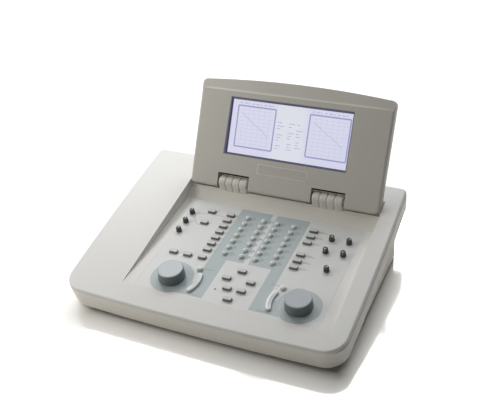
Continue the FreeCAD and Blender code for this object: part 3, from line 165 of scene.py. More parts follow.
class Field:
    """A number that varies over a surface. Operators on it add Math nodes."""

    def __init__(self, recipe, socket):
        self.recipe, self.socket = recipe, socket

    def math(self, operation, *others, clamp=False):
        values = {i: other for i, other in enumerate((self,) + others)}
        node = self.recipe.node("ShaderNodeMath", values, operation=operation, use_clamp=clamp)
        return Field(self.recipe, node.outputs[0])

    def __add__(self, other): return self.math("ADD", other)
    def __sub__(self, other): return self.math("SUBTRACT", other)
    def __mul__(self, other): return self.math("MULTIPLY", other)
    def __truediv__(self, other): return self.math("DIVIDE", other)
    def __radd__(self, other): return self + other
    def __rsub__(self, other): return self * -1 + other
    def __abs__(self): return self.math("ABSOLUTE")

    def rise(self, edge, soft):
        """0 below the edge and 1 above it, over a soft step of this width."""
        return ((self - (edge - soft / 2)) / soft).math("ADD", 0.0, clamp=True)

    def within(self, low, high, soft):
        """1 between two edges, fading over a soft step at each."""
        return self.rise(low, soft) * (1 - self.rise(high, soft))


def length_of(a, b):
    """Distance from the origin of a point whose two coordinates are fields."""
    return (a * a + b * b).math("SQRT")


# %% A material's nodes


class Recipe:
    """The node tree of one material, with its main shader and object coordinates at hand."""

    def __init__(self, name):
        self.material = bpy.data.materials.new(name)
        self.material.use_nodes = True
        self.tree = self.material.node_tree
        self.shader = self.tree.nodes["Principled BSDF"]
        self.places = self.node("ShaderNodeTexCoord", {}).outputs["Object"]

    def node(self, kind, values, **settings):
        made = self.tree.nodes.new(kind)
        for name, value in settings.items():
            setattr(made, name, value)
        for key, value in values.items():
            self.feed(made.inputs[key], value)
        return made

    def feed(self, socket, value):
        value = value.socket if isinstance(value, Field) else value
        if isinstance(value, bpy.types.NodeSocket):
            self.tree.links.new(value, socket)
        else:
            socket.default_value = value

    def field(self, socket):
        """A socket as a number that can be calculated with."""
        return Field(self, socket)

    def place_fields(self):
        """The three object coordinates as fields."""
        split = self.node("ShaderNodeSeparateXYZ", {"Vector": self.places})
        return [self.field(split.outputs[axis]) for axis in "XYZ"]

    def plane_fields(self, plane):
        """Across, along and above, in a tilted plane, as fields."""
        x, y, z = self.place_fields()
        dx, dy, dz = x - plane.origin[0], y - plane.origin[1], z - plane.origin[2]
        return [dx * way[0] + dy * way[1] + dz * way[2] for way in (plane.x, plane.v, plane.h)]

    def noise(self, scale, detail=2.0, roughness=0.5, squeeze=(1, 1, 1)):
        """Blender's fractal noise, whose scale is in features per metre. A squeeze of more than 1
        packs them closer along that axis."""
        mapped = self.node("ShaderNodeMapping", {"Vector": self.places, "Scale": squeeze})
        values = {"Vector": mapped.outputs[0], "Scale": scale, "Detail": detail, "Roughness": roughness}
        return self.field(self.node("ShaderNodeTexNoise", values).outputs["Fac"])

    def mix(self, factor, first, second):
        """One colour laid over another."""
        made = self.node("ShaderNodeMix", {0: factor, 6: first, 7: second}, data_type="RGBA")
        return made.outputs[2]

    def bump(self, height, depth):
        """A height field, in metres once multiplied by depth, turned into a surface direction."""
        return self.node("ShaderNodeBump", {"Height": height, "Distance": depth}).outputs["Normal"]

    def blend(self, amount, first, second):
        """Two shader nodes mixed, the second to this amount."""
        return self.node("ShaderNodeMixShader", {0: amount, 1: first.outputs[0], 2: second.outputs[0]})

    def show(self, shader):
        """Let the material wear this shader node in place of the main one."""
        self.tree.links.new(shader.outputs[0], self.tree.nodes["Material Output"].inputs["Surface"])
        return self.material

    def surface(self, **inputs):
        """Set the main shader's inputs by name, with spaces written as underscores."""
        for name, value in inputs.items():
            self.feed(self.shader.inputs[name.replace("_", " ")], value)
        return self.material


def rgb(red, green, blue):
    return (red, green, blue, 1.0)


# %% [markdown]
# ## Moulded plastic
# The console is moulded in a warm light grey with a fine spark-eroded texture. Up close that is a
# field of tiny bumps, and from arm's length it only spreads the highlights. Two sizes of noise
# make it, one for the grain and one for the slight unevenness of a large moulding, and the same
# slow noise shifts the colour by a hundredth or two. The housing, the bezel and the small parts
# differ only in colour, grain and gloss, so one function makes them all.

# %% Plastics
GRAIN, GRAIN_DEPTH = 2200, 0.02 * MM  # features per metre, and how far they stand out


def two_noises(recipe, grain=GRAIN):
    """The slow unevenness of a large moulding, and the fine grain of its texture."""
    return recipe.noise(14, detail=3), recipe.noise(grain, detail=2, roughness=0.6)


def moulded_surface(recipe, colour, slow, fine, roughness=0.5, grain_depth=GRAIN_DEPTH):
    """A colour with patchy gloss and the grain's bumps."""
    return recipe.surface(
        Base_Color=colour, Roughness=(slow - 0.5) * 0.12 + (fine - 0.5) * 0.10 + roughness,
        Normal=recipe.bump(fine, grain_depth))


def painted(recipe, base, *layers):
    """Colours laid over a base in turn. A layer is a mask, how well it covers, and its colour."""
    for mask, cover, colour in layers:
        base = recipe.mix(mask * cover, base, rgb(*colour))
    return base


def plastic(name, colour, roughness, grain=GRAIN, grain_depth=GRAIN_DEPTH, drift=0.02):
    """A moulded plastic with grain, slow colour drift and patchy gloss."""
    recipe = Recipe(name)
    slow, fine = two_noises(recipe, grain)
    dark, light = [rgb(*(min(1.0, c * (1 + way * drift)) for c in colour)) for way in (-1, 1)]
    drifting = recipe.mix(slow.rise(0.5, 0.5), dark, light)
    return moulded_surface(recipe, drifting, slow, fine, roughness, grain_depth)


# Painted light: the lower shell and base pan are painted lighter and warmer than the top, for the light on the
# front.
housing_low = plastic("lower housing plastic", (0.74, 0.725, 0.67), 0.5)
tower_plastic = plastic("hinge tower plastic", (0.67, 0.655, 0.61), 0.5)
key_white = plastic("round key plastic", (0.72, 0.735, 0.73), 0.38, drift=0.01)
bar_white = plastic("bar plastic", (0.72, 0.74, 0.75), 0.38, drift=0.01)
knob_dark = plastic("knob plastic", (0.045, 0.048, 0.05), 0.42, drift=0.1)
knob_line = plastic("knob line", (0.62, 0.62, 0.6), 0.5)
rubber = plastic("foot rubber", (0.03, 0.03, 0.032), 0.8, grain=900, drift=0.15)
speaker_black = plastic("speaker paper", (0.05, 0.05, 0.05), 0.75, grain=700, drift=0.2)
switch_mat = plastic("switch mat rubber", (0.45, 0.45, 0.44), 0.7)
socket_black = plastic("socket plastic", (0.03, 0.03, 0.034), 0.34, drift=0.12)
plate_blank = plastic("blank plate", (0.53, 0.515, 0.475), 0.4)
print("plastics made")

# %% [markdown]
# ## Plastics with painted places, painted light and painted shade
# The top cover has places of another colour. The well's floor round the film is as pale as
# the film, so that its edge hardly shows. By the wall on its left, floor and wall are painted paler
# still, as painted light against the shade the wall casts, and the wall on its right is painted pale
# as the light that falls on it. Below the rim the slab's sides are painted lighter and warmer than
# its top, as painted light, and a dark band of painted shade, standing for a shadowed groove, runs
# under the rim along each side. The bezel has a dark gasket round the display and a pale rim round
# its blank plate, and a painted highlight lies on the edge where its brow starts. Each is one mask
# in the plane of that part, and on the bezel the masks keep to the front, so that they don't show
# on the lid's back.

# %% Top cover
SEAM_FROM, SEAM_TO, SEAM_SIDE = -8.5 * MM, -4.2 * MM, 243 * MM  # below the slab's top, and across
RIM_FOOT = -4 * MM  # below this the slab's sides are painted lighter and warmer, as painted light
WELL_FOOT, WELL_SIDE = -0.9 * MM, 189 * MM  # under the film, and from its middle
RIGHT_WALL = (188 * MM, 200 * MM)  # from the film's middle
PALE_FROM, PALE_TO = -150 * MM, -112 * MM  # painted light on the well's left border fades out here
PALE_ALONG, PALE_SOFT = 150 * MM, 90 * MM  # and towards the front


def painted_light_border(x, v):
    """1 at the rear left of the panel, where painted light makes the film and the well beside it palest."""
    return (1 - x.rise((PALE_FROM + PALE_TO) / 2, PALE_TO - PALE_FROM)) * v.rise(PALE_ALONG, PALE_SOFT)


def cover_plastic():
    """The housing's plastic, with the pale well floor, painted light by its walls and on the sides below the rim,
    and painted shade at each side.
    """
    recipe = Recipe("housing plastic")
    slow, fine = two_noises(recipe)
    x, v, above = recipe.plane_fields(panel)
    slab_x, _, slab_h = recipe.plane_fields(slab)
    beside = x - PANEL_CENTRE
    # Painted light: below the rim the slab's sides are painted lighter and warmer, for the light they get.
    painted_light_below_rim = 1 - slab_h.rise(RIM_FOOT, 2 * MM)
    well_floor = above.within(WELL_FOOT, 0.4 * MM, 0.3 * MM) * (1 - abs(beside).rise(WELL_SIDE, MM))
    # Painted light: the well's floor and left wall are painted pale by the wall, where its shade falls.
    painted_light_left_wall = (above.within(WELL_FOOT, 14 * MM, MM) * (1 - slab_h.rise(-8 * MM, 6 * MM))
                 * x.rise(PALE_FROM, 0.6 * MM) * painted_light_border(x, v))
    # Painted light: the well's right wall is painted paler, as the light that falls on it from the left.
    painted_light_right_wall = beside.within(*RIGHT_WALL, MM) * (1 - slab_h.rise(-MM, MM)) * above.rise(0, MM)
    # Painted shade: a dark band under the slab's rim along each side stands for the shadow in a groove.
    seam_shade = slab_h.within(SEAM_FROM, SEAM_TO, 1.2 * MM) * abs(slab_x).rise(SEAM_SIDE, 16 * MM)
    base = recipe.mix(slow.rise(0.5, 0.5), rgb(0.655, 0.657, 0.645), rgb(0.68, 0.682, 0.67))
    colour = painted(recipe, base, (painted_light_below_rim, 1.0, (0.74, 0.725, 0.67)),
                     (well_floor, 0.8, (0.65, 0.65, 0.635)), (painted_light_left_wall, 0.8, (0.90, 0.90, 0.885)),
                     (painted_light_right_wall, 0.6, (0.80, 0.80, 0.785)), (seam_shade, 0.85, (0.12, 0.12, 0.11)))
    return moulded_surface(recipe, colour, slow, fine)


housing = cover_plastic()
print("top cover's finish made")

# %% Bezel
SCREEN_MIDDLE, SCREEN_HALF = 35.3 * MM, 118.25 * MM
SCREEN_FOOT, SCREEN_HEAD = 55 * MM, 158 * MM
PLATE = (-13 * MM, 80 * MM, 26.5 * MM, 42 * MM)  # name plate's left, right, foot and head
PLATE_RIM = 1.4 * MM  # pale line round it
BROW_EDGE, BROW_SIDE = (170.2 * MM, 173.4 * MM), 176 * MM  # painted highlight on the edge at the brow's foot
GASKET = (4 * MM, 0.4 * MM, 2.2 * MM, 2.6 * MM)  # past the display's left, right, foot and head
FRONT_FACE = 3 * MM  # what lies above this is the bezel's front


def bezel_finish():
    """The bezel's plastic, with the gasket, the plate's pale rim and a painted highlight on the brow's edge, on
    its front.
    """
    recipe = Recipe("bezel plastic")
    slow, fine = two_noises(recipe)
    x, v, above = recipe.plane_fields(lid)
    front = above.rise(FRONT_FACE, MM)
    left_edge = SCREEN_MIDDLE - SCREEN_HALF - GASKET[0] + (v - SCREEN_FOOT) * 0.02
    gasket = ((x - left_edge).rise(0, 1.4 * MM)
              * (1 - x.rise(SCREEN_MIDDLE + SCREEN_HALF + GASKET[1], 0.8 * MM))
              * v.within(SCREEN_FOOT - GASKET[2], SCREEN_HEAD + GASKET[3], 1.6 * MM))
    plate = (x.within(PLATE[0] - PLATE_RIM, PLATE[1] + PLATE_RIM, 0.4 * MM)
             * v.within(PLATE[2] - PLATE_RIM, PLATE[3] + PLATE_RIM, 0.4 * MM))
    # Painted highlight: a pale line on the edge where the brow starts, as light catching it.
    painted_highlight_edge = v.within(*BROW_EDGE, 1.0 * MM) * (1 - abs(x - PANEL_CENTRE).rise(BROW_SIDE, 14 * MM))
    base = recipe.mix(slow.rise(0.5, 0.5), rgb(0.53, 0.52, 0.482), rgb(0.55, 0.54, 0.50))
    colour = painted(recipe, base, (plate * front, 0.85, (0.78, 0.77, 0.72)),
                     (painted_highlight_edge * front, 0.85, (0.74, 0.725, 0.67)),
                     (gasket * front, 0.93, (0.10, 0.095, 0.155)))
    return moulded_surface(recipe, colour, slow, fine)


bezel_plastic = bezel_finish()
print("bezel's finish made round a display", round(2000 * SCREEN_HALF), "mm wide")

# %% [markdown]
# ## Two-coloured mouldings
# A level dial is dark at its side and pale on its top, and an oblong key has a pale cap over a
# darker body. Both change colour at one height above the panel, so one mask on that height paints
# them. It stays with the part when a dial turns or a key goes down, because Object coordinates do.

# %% Dials and oblong keys
DIAL_TOP = 19.3 * MM


def two_tone(name, low_colour, high_colour, change, roughness, soft=0.4 * MM):
    """A plastic that goes from one colour to another at a height above the panel."""
    recipe = Recipe(name)
    above = recipe.plane_fields(panel)[2]
    fine = recipe.noise(1800, detail=2)
    cap = above.rise(change, soft)
    return recipe.surface(
        Base_Color=recipe.mix(cap, rgb(*low_colour), rgb(*high_colour)),
        Roughness=(fine - 0.5) * 0.1 + roughness,
        Normal=recipe.bump(fine, 0.015 * MM))


dial_finish = two_tone("dial plastic", (0.15, 0.18, 0.19), (0.33, 0.365, 0.40), 17.9 * MM, 0.36)
oblong_finish = two_tone("oblong key plastic", (0.20, 0.205, 0.20), (0.50, 0.51, 0.50), 4.2 * MM, 0.42)
print("two-coloured mouldings made")

# %% [markdown]
# ## The printed film
# A thin matt film covers the panel. It is light grey, and printed with two blue-grey zones, one for
# each channel: a ring round the dial, a stem beside it and a broad band up between the keys. Each
# zone is a few distances: a circle is the distance from a dial, and a band is a range across and a
# range along. The largest of the masks is the zone.

# %% Panel film
DIALS = {side: (joints[f"{side}_dial_turn"]["pos_m"][0], inward)  # across, and the way inwards
         for side, inward in (("left", 1), ("right", -1))}
ZONE_RADIUS = 38 * MM
ZONE_PARTS = (  # left, right, foot and head in millimetres
    (-60, -1, 7, 39), (-31, -1, 7, 241), (-31, 31, 105, 242),  # left foot, stem and band
    (83, 135, 7, 39), (83, 104, 7, 241), (40, 102, 105, 242))  # the right ones
PRINT_SOFT = 0.9 * MM


def panel_film():
    """The film's colour, with the two zones, and a fine hammered surface."""
    recipe = Recipe("printed film")
    x, v, _ = recipe.plane_fields(panel)
    masks = [1 - length_of(x - dial_x, v - DIAL_ALONG).rise(ZONE_RADIUS, PRINT_SOFT)
             for dial_x, _ in DIALS.values()]
    for part in ZONE_PARTS:
        left, right, foot, head = [edge * MM for edge in part]
        masks.append(x.within(left, right, PRINT_SOFT) * v.within(foot, head, PRINT_SOFT))
    zone = masks[0]
    for mask in masks[1:]:
        zone = zone.math("MAXIMUM", mask)
    slow = recipe.noise(9, detail=2)
    fine = recipe.noise(1400, detail=3, roughness=0.6)
    blue = recipe.mix(slow.rise(0.5, 0.4), rgb(0.355, 0.42, 0.425), rgb(0.38, 0.435, 0.45))
    light = recipe.mix(slow.rise(0.5, 0.4), rgb(0.61, 0.62, 0.612), rgb(0.625, 0.635, 0.628))
    # Painted light: the film's rear left is painted paler, where the well's left wall shades it.
    light = painted(recipe, light, (painted_light_border(x, v), 0.8, (0.90, 0.90, 0.885)))
    return recipe.surface(
        Base_Color=recipe.mix(zone, light, blue),
        Roughness=(fine - 0.5) * 0.08 + 0.48,
        Normal=recipe.bump(fine, 0.01 * MM))


film = panel_film()
print("film printed")

# %% [markdown]
# ## The display
# The display is a pale lavender panel lit from behind, with a dark blue rim where its frame
# shows. The light is emission, a little uneven towards the corners as a backlight is. The lines
# and marks on it are thin strokes of their own, made further on.

# %% Display, its lines and its window
RIM_SIDE, RIM_LEVEL = 2.2 * MM, 1.6 * MM  # breadth of the dark rim
TEXT_HALF = 30 * MM  # the middle, which is less blue


def display():
    """A lit panel with a dark rim. Its light is a little bluer away from the middle."""
    recipe = Recipe("lit display")
    x, v, _ = recipe.plane_fields(lid)
    lit = ((1 - abs(x - SCREEN_MIDDLE).rise(SCREEN_HALF - RIM_SIDE, 0.5 * MM))
           * v.within(SCREEN_FOOT + RIM_LEVEL, SCREEN_HEAD - RIM_LEVEL, 0.5 * MM))
    charts = abs(x - SCREEN_MIDDLE).rise(TEXT_HALF, 18 * MM)
    slow = recipe.noise(12, detail=2)
    glow = recipe.mix(charts, rgb(0.685, 0.70, 0.745), rgb(0.625, 0.635, 0.76))
    glow = recipe.mix(slow.rise(0.5, 0.5) * 0.25, glow, rgb(0.72, 0.735, 0.81))
    return recipe.surface(
        Base_Color=recipe.mix(lit, rgb(0.03, 0.03, 0.10), rgb(0.10, 0.10, 0.12)),
        Emission_Color=recipe.mix(lit, rgb(0.035, 0.033, 0.10), glow),
        Emission_Strength=1.0,
        Roughness=(slow - 0.5) * 0.1 + 0.4)


def display_ink(name, colour):
    """Dark cells of the display: they hold back the light and glow faintly in their own colour."""
    recipe = Recipe(name)
    slow = recipe.noise(60, detail=2)
    shade = rgb(*(c * 0.9 for c in colour))
    return recipe.surface(
        Base_Color=rgb(0.02, 0.02, 0.05), Roughness=(slow - 0.5) * 0.1 + 0.5,
        Emission_Color=recipe.mix(slow, shade, rgb(*colour)), Emission_Strength=1.0)


def clear_window():
    """Clear acrylic: mostly see-through, with a skin of gloss that grows at a slant."""
    recipe = Recipe("clear window")
    recipe.tree.nodes.remove(recipe.shader)
    haze = recipe.noise(30, detail=2)
    clear = recipe.node("ShaderNodeBsdfTransparent", {"Color": rgb(0.97, 0.97, 0.98)})
    gloss = recipe.node("ShaderNodeBsdfGlossy", {"Color": rgb(1, 1, 1), "Roughness": 0.08})
    slant = recipe.field(recipe.node("ShaderNodeFresnel", {"IOR": 1.35}).outputs[0])
    return recipe.show(recipe.blend(slant * ((haze - 0.5) * 0.2 + 0.7), clear, gloss))


lcd = display()
line_blue = display_ink("display frame lines", (0.33, 0.31, 0.57))
line_faint = display_ink("display grid lines", (0.50, 0.51, 0.73))
line_dash = display_ink("display marks", (0.38, 0.37, 0.68))
window_clear = clear_window()
print("display made")

# %% [markdown]
# ## Metals and boards
# What sits inside is seldom seen, yet it shows through the seams and when the parts are laid out.
# Steel is brushed: noise squeezed along one axis leaves long streaks across it, which change its
# gloss and its bump. A circuit board is green with a faint weave under the lacquer.

# %% Steel, brass, boards and the painted rear plate


def metal(name, colour, roughness, squeeze=(1, 1, 14)):
    """Bare metal, brushed across the axis along which its noise is squeezed."""
    recipe = Recipe(name)
    brush = recipe.noise(500, detail=3, squeeze=squeeze)
    return recipe.surface(
        Base_Color=recipe.mix(brush, rgb(*(c * 0.86 for c in colour)), rgb(*colour)),
        Metallic=1.0, Roughness=(brush - 0.5) * 0.2 + roughness,
        Normal=recipe.bump(brush, 0.01 * MM))


def circuit_board():
    """Green lacquer over a weave: two sine waves, across and along, multiplied."""
    recipe = Recipe("circuit board")
    x, y, _ = recipe.place_fields()
    weave = (x * 5200).math("SINE") * (y * 5200).math("SINE")
    slow = recipe.noise(40, detail=3)
    return recipe.surface(
        Base_Color=recipe.mix(slow, rgb(0.01, 0.10, 0.035), rgb(0.02, 0.15, 0.05)),
        Roughness=(slow - 0.5) * 0.2 + 0.35, Normal=recipe.bump(weave, 0.01 * MM), Coat_Weight=0.4)


steel = metal("brushed steel", (0.52, 0.52, 0.51), 0.36)
brass = metal("turned brass", (0.72, 0.52, 0.22), 0.28, squeeze=(1, 14, 1))
board_green = circuit_board()
component = plastic("component casing", (0.035, 0.035, 0.037), 0.45, drift=0.15)
supply_case = metal("zinc plated sheet", (0.50, 0.50, 0.49), 0.42, squeeze=(14, 1, 1))
rear_paint = plastic("rear plate paint", (0.30, 0.30, 0.295), 0.48, grain=1500, grain_depth=0.05 * MM)
print("metals and boards made")

# %% Every CAD node gets its finish
FINISHES = {
    "housing": housing, "housing_low": housing_low, "bezel": bezel_plastic, "panel_plate": supply_case,
    "panel_film": film, "key_white": key_white, "key_grey": oblong_finish, "bar_white": bar_white,
    "knob": knob_dark, "dial": dial_finish, "rubber": rubber, "board": board_green,
    "mat": switch_mat, "brass": brass, "component": component, "supply": supply_case,
    "speaker": speaker_black, "rear_plate": rear_paint, "socket": socket_black,
    "inlet": socket_black, "steel": steel, "lcd": lcd, "window": window_clear,
    "name_plate": plate_blank,
}
slot_of = {part["node"]: part["material_slot"] for part in frame["record"]["subparts"]}
body_of = {node: body for body, members in frame["record"]["behaviour"]["bodies"].items()
           for node in members}
for name, node in nodes.items():
    node.data.materials.clear()
    node.data.materials.append(FINISHES[slot_of[name]])
print("finishes on", len(nodes), "nodes, from slots", sorted(set(slot_of.values())))

# %% [markdown]
# ## Closed skins
# Nearly every small part here is a moulding: an outline that rises, rounds over at its edge and
# closes over the top. Cubes and cylinders would leave hard edges that no mould leaves. So a part is
# an outline, as a function of how far it is drawn in, and a profile, a list of how far in and how
# high. `moulded` stacks the outlines, and `loft` skins them and closes both ends with a fan.

# %% Lofts
NO_FANS = np.zeros((0, 3), int)


def loft(rings):
    """A closed skin over a stack of rings. A ring runs anticlockwise seen from the stack's top.

    Quad (i, j) joins ring i at step j to ring i + 1 at step j + 1. Each end is a fan to the end
    ring's mean point.
    """
    rings = np.asarray(rings, float)
    count, around = rings.shape[:2]
    step = np.arange(around)
    after = (step + 1) % around
    row = np.arange(count - 1)[:, None] * around
    above = row + around
    quads = np.stack([row + step, row + after, above + after, above + step], -1).reshape(-1, 4)
    points = np.concatenate([rings.reshape(-1, 3), rings[[0, -1]].mean(axis=1)])
    top = (count - 1) * around
    low_hub, high_hub = np.full(around, count * around), np.full(around, count * around + 1)
    fans = np.concatenate([np.stack([after, step, low_hub], 1),
                           np.stack([top + step, top + after, high_hub], 1)])
    return points, quads, fans


# %% Strokes


def strokes(plane, starts, ends, width, low, high):
    """Thin closed bars along straight lines on a plane. A bar's four corners lie half a width to
    each side of its line, once at the low level and once at the high one."""
    starts, ends = np.atleast_2d(starts).astype(float), np.atleast_2d(ends).astype(float)
    way = ends - starts
    way /= np.linalg.norm(way, axis=1, keepdims=True)
    side = np.stack([-way[:, 1], way[:, 0]], 1) * np.reshape(width, (-1, 1)) / 2
    corners = np.stack([starts - side, ends - side, ends + side, starts + side], 1)
    levels = [np.concatenate([corners, np.full((len(starts), 4, 1), level)], 2) for level in (low, high)]
    points = plane.place(np.concatenate(levels, 1)).reshape(-1, 3)
    bar = np.array([[3, 2, 1, 0], [4, 5, 6, 7], [0, 1, 5, 4], [1, 2, 6, 5], [2, 3, 7, 6], [3, 0, 4, 7]])
    return points, (np.arange(len(starts))[:, None, None] * 8 + bar).reshape(-1, 4), NO_FANS


# %% Outlines


def on_circle(angle):
    """Points of the unit circle at these angles."""
    return np.stack([np.cos(angle), np.sin(angle)], -1)


def disc(radius, count=36):
    """A circle, radius less the inset, at even angles."""
    circle = on_circle(np.arange(count) * 2 * math.pi / count)
    return lambda inset: (radius - inset) * circle


def rounded_box(width, depth, corner, steps=6):
    """A rectangle with quarter-circle corners, drawn in by the inset on every side."""
    turn = np.linspace(0, math.pi / 2, steps)
    angle = np.concatenate([turn + quarter * math.pi / 2 for quarter in range(4)])
    signs = np.repeat([(1, 1), (-1, 1), (-1, -1), (1, -1)], steps, axis=0)

    def outline(inset):
        radius = max(corner - inset, 0.02 * MM)
        half = np.array([width, depth]) / 2 - inset - radius
        return signs * half + radius * on_circle(angle)
    return outline


# %% Profiles and mouldings


def crown(foot, top, edge, reach, rise, steps=7):
    """Profile of a moulded top. The wall goes straight up from the foot, a quarter circle of
    radius edge turns it in, and a parabola climbs by rise to the middle, reach from the wall."""
    turn = np.linspace(0, math.pi / 2, steps)
    inward = np.linspace(0, 1, steps)[1:]
    drawn_in = np.r_[0, edge * (1 - np.cos(turn)), edge + (reach - edge) * inward]
    height = np.r_[foot, top - rise - edge * (1 - np.sin(turn)), top - rise * (1 - inward) ** 2]
    return np.stack([drawn_in, height], 1)


def chamfered(low, high, edge):
    """Profile of a plate whose edges are cut off at 45 degrees."""
    return [(edge, low), (0, low + edge), (0, high - edge), (edge, high)]


def moulded(plane, centre, outline, profile):
    """A closed skin: the outline at each inset of the profile, at that height on the plane."""
    rings = [np.column_stack([outline(inset) + centre, np.full(len(outline(inset)), height)])
             for inset, height in profile]
    return loft(plane.place(np.array(rings)))


# %% Pieces


def piece(name, layers, body, stands_for=(), sharp=35):
    """Join closed skins into one mesh. Each layer is a finish and the skins that wear it."""
    skins = [skin for finish, members in layers for skin in members]
    starts = np.cumsum([0] + [len(skin[0]) for skin in skins])
    quads = [skin[1] + start for skin, start in zip(skins, starts)]
    fans = [skin[2] + start for skin, start in zip(skins, starts)]
    mesh = bpy.data.meshes.new(name)
    faces = [face for q, f in zip(quads, fans) for face in q.tolist() + f.tolist()]
    mesh.from_pydata(np.concatenate([skin[0] for skin in skins]).tolist(), [], faces)
    finish_numbers = [np.full(len(skin[1]) + len(skin[2]), number)
                      for number, (finish, members) in enumerate(layers) for skin in members]
    mesh.polygons.foreach_set("material_index", np.concatenate(finish_numbers))
    return settle(name, mesh, [finish for finish, members in layers], body, stands_for, sharp)


def settle(name, mesh, finishes, body, stands_for, sharp):
    """Shade a mesh smoothly between its real edges, give it its finishes and its body."""
    for finish in finishes:
        mesh.materials.append(finish)
    mesh.polygons.foreach_set("use_smooth", np.ones(len(mesh.polygons), bool))
    mesh.set_sharp_from_angle(angle=math.radians(sharp))
    made = add_object(name, mesh)
    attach(made, body)
    if stands_for:
        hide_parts(*stands_for)
    return made


def stand_in(node, ending, layers, sharp=35):
    """A piece in the place of a node, on the node's body."""
    return piece(node + ending, layers, body_of[node], [node], sharp)


# %% [markdown]
# ## Covers
# The five large mouldings keep the CAD's exact surfaces. Their triangles come loose, so each one
# would shade flat and a fillet would look faceted. A copy with its corners merged can be shaded
# smoothly, with the real edges kept sharp, and weighting each normal by face area keeps the broad
# flats flat beside their fillets.

# %% Merged copies of the covers
MERGE_STEP = 0.002 * MM


def corners_of(mesh):
    """A mesh's corners, one row each."""
    corners = np.empty(len(mesh.vertices) * 3)
    mesh.vertices.foreach_get("co", corners)
    return corners.reshape(-1, 3)


def merged_copy(node, finish, sharp=32):
    """The node's triangles with corners within a step of each other made one."""
    source = nodes[node].data
    corners = corners_of(source)
    corner_of = np.empty(len(source.loops), int)
    source.loops.foreach_get("vertex_index", corner_of)
    steps = np.round(corners / MERGE_STEP).astype(np.int64)
    _, first, merged = np.unique(steps, axis=0, return_index=True, return_inverse=True)
    faces = merged.reshape(-1)[corner_of].reshape(-1, 3)
    whole = (faces[:, 0] != faces[:, 1]) & (faces[:, 1] != faces[:, 2]) & (faces[:, 2] != faces[:, 0])
    name = node + "_moulding"
    mesh = bpy.data.meshes.new(name)
    mesh.from_pydata(corners[first].tolist(), [], faces[whole].tolist())
    made = settle(name, mesh, [finish], body_of[node], [node], sharp)
    weighted = made.modifiers.new("flat flats", "WEIGHTED_NORMAL")
    weighted.keep_sharp = True
    print(name, len(corners), "corners merged to", len(first))


# %% The covers
for node, finish in (("top_cover", housing), ("lower_shell", housing_low), ("base_pan", housing_low),
                     ("lid_bezel", bezel_plastic), ("lid_back_cover", bezel_plastic)):
    merged_copy(node, finish)

# %% [markdown]
# ## Hinge towers
# Two ribbed barrels stand up in the lid's notches and hold its pins. Each has four soft ribs. A
# section is a half circle over the hinge line with straight sides down into the trough, and its
# radius dips at each groove as a high power of a cosine does, so that the ribs stay broad and flat.

# %% Ribbed towers
TOWER_WIDTH, TOWER_RADIUS, GROOVE_DEPTH = 57 * MM, 12 * MM, 1.4 * MM
TOWERS = {"left_hinge_tower": -60 * MM, "right_hinge_tower": 127 * MM}
hinge_plane = Plane(hinge_point * (0, 1, 1), RIGHT, slab_up)


def ribbed_tower(middle, ribs=4, stations=193, foot=15 * MM):
    """Rings across the tower. At t from 0 to 1 along it the radius is the full one less the groove
    depth times |cos(ribs pi t)| to the 24th, over a half turn, with a straight leg each side."""
    t = np.linspace(0, 1, stations)
    radius = TOWER_RADIUS - GROOVE_DEPTH * np.abs(np.cos(ribs * math.pi * t)) ** 24
    turn = np.linspace(0, math.pi, 33)
    v = np.concatenate([np.cos(turn), [-1], [1]])[None, :] * radius[:, None]
    h = np.concatenate([np.sin(turn), [0], [0]])[None, :] * radius[:, None]
    h[:, -2:] = -foot
    x = middle + (t - 0.5)[:, None] * TOWER_WIDTH + np.zeros_like(v)
    return loft(hinge_plane.place(np.stack([x, v, h], -1)))


for name, middle in TOWERS.items():
    stand_in(name, "_ribs", [(tower_plastic, [ribbed_tower(middle)])], sharp=40)
print("towers", [round(1000 * middle) for middle in TOWERS.values()], "mm across")

# %% [markdown]
# ## Painted shade in the lid's notches
# A dark strip of painted shade closes the gap over each tower at the back of its notch, so that no
# light shows through, standing for the shade there. It is a thin strip in the foot rubber's colour
# that hangs from the notch's head and rides on the lid.

# %% Painted shade strips in the notches
SHADE_STRIP_WIDTH, SHADE_STRIP_FOOT, SHADE_STRIP_HEAD = 63 * MM, 12.7 * MM, 17.2 * MM
shade_strip_profile = chamfered(-9.0 * MM, -7.0 * MM, 0.3 * MM)
for name, middle in TOWERS.items():
    place = (middle, (SHADE_STRIP_FOOT + SHADE_STRIP_HEAD) / 2)
    # Painted shade: each strip is dark, standing for the shade behind the notch's gap.
    shade_strip = moulded(lid, place, rounded_box(SHADE_STRIP_WIDTH, SHADE_STRIP_HEAD - SHADE_STRIP_FOOT, MM), shade_strip_profile)
    piece(name.replace("hinge_tower", "notch_lip"), [(rubber, [shade_strip])], "lid")
print("notch shade strips", round(1000 * (SHADE_STRIP_HEAD - SHADE_STRIP_FOOT), 1), "mm tall")

# %% [markdown]
# ## Keys
# Round keys are small domes in four columns of seven, and the rest are oblong caps with soft edges.
# A column moves as one body, because the CAD groups it, so a column is one piece of several skins.
# Where each cap stands, and how large it is, comes from the part of its node that rises above the
# panel.

# %% Where the caps stand
KEY_FOOT, ROW_PITCH = -3 * MM, 16.5 * MM
COLUMN_ROWS = 7  # keys in the left column before the one that stands apart


def cap_span(node):
    """Lowest and highest (across, along, above) of what rises over the panel in a node."""
    step = corners_of(nodes[node].data) - panel.origin
    read = step @ np.stack([panel.x, panel.v, panel.h], 1)
    raised = read[read[:, 2] > 0.5 * MM]
    return raised.min(axis=0), raised.max(axis=0)


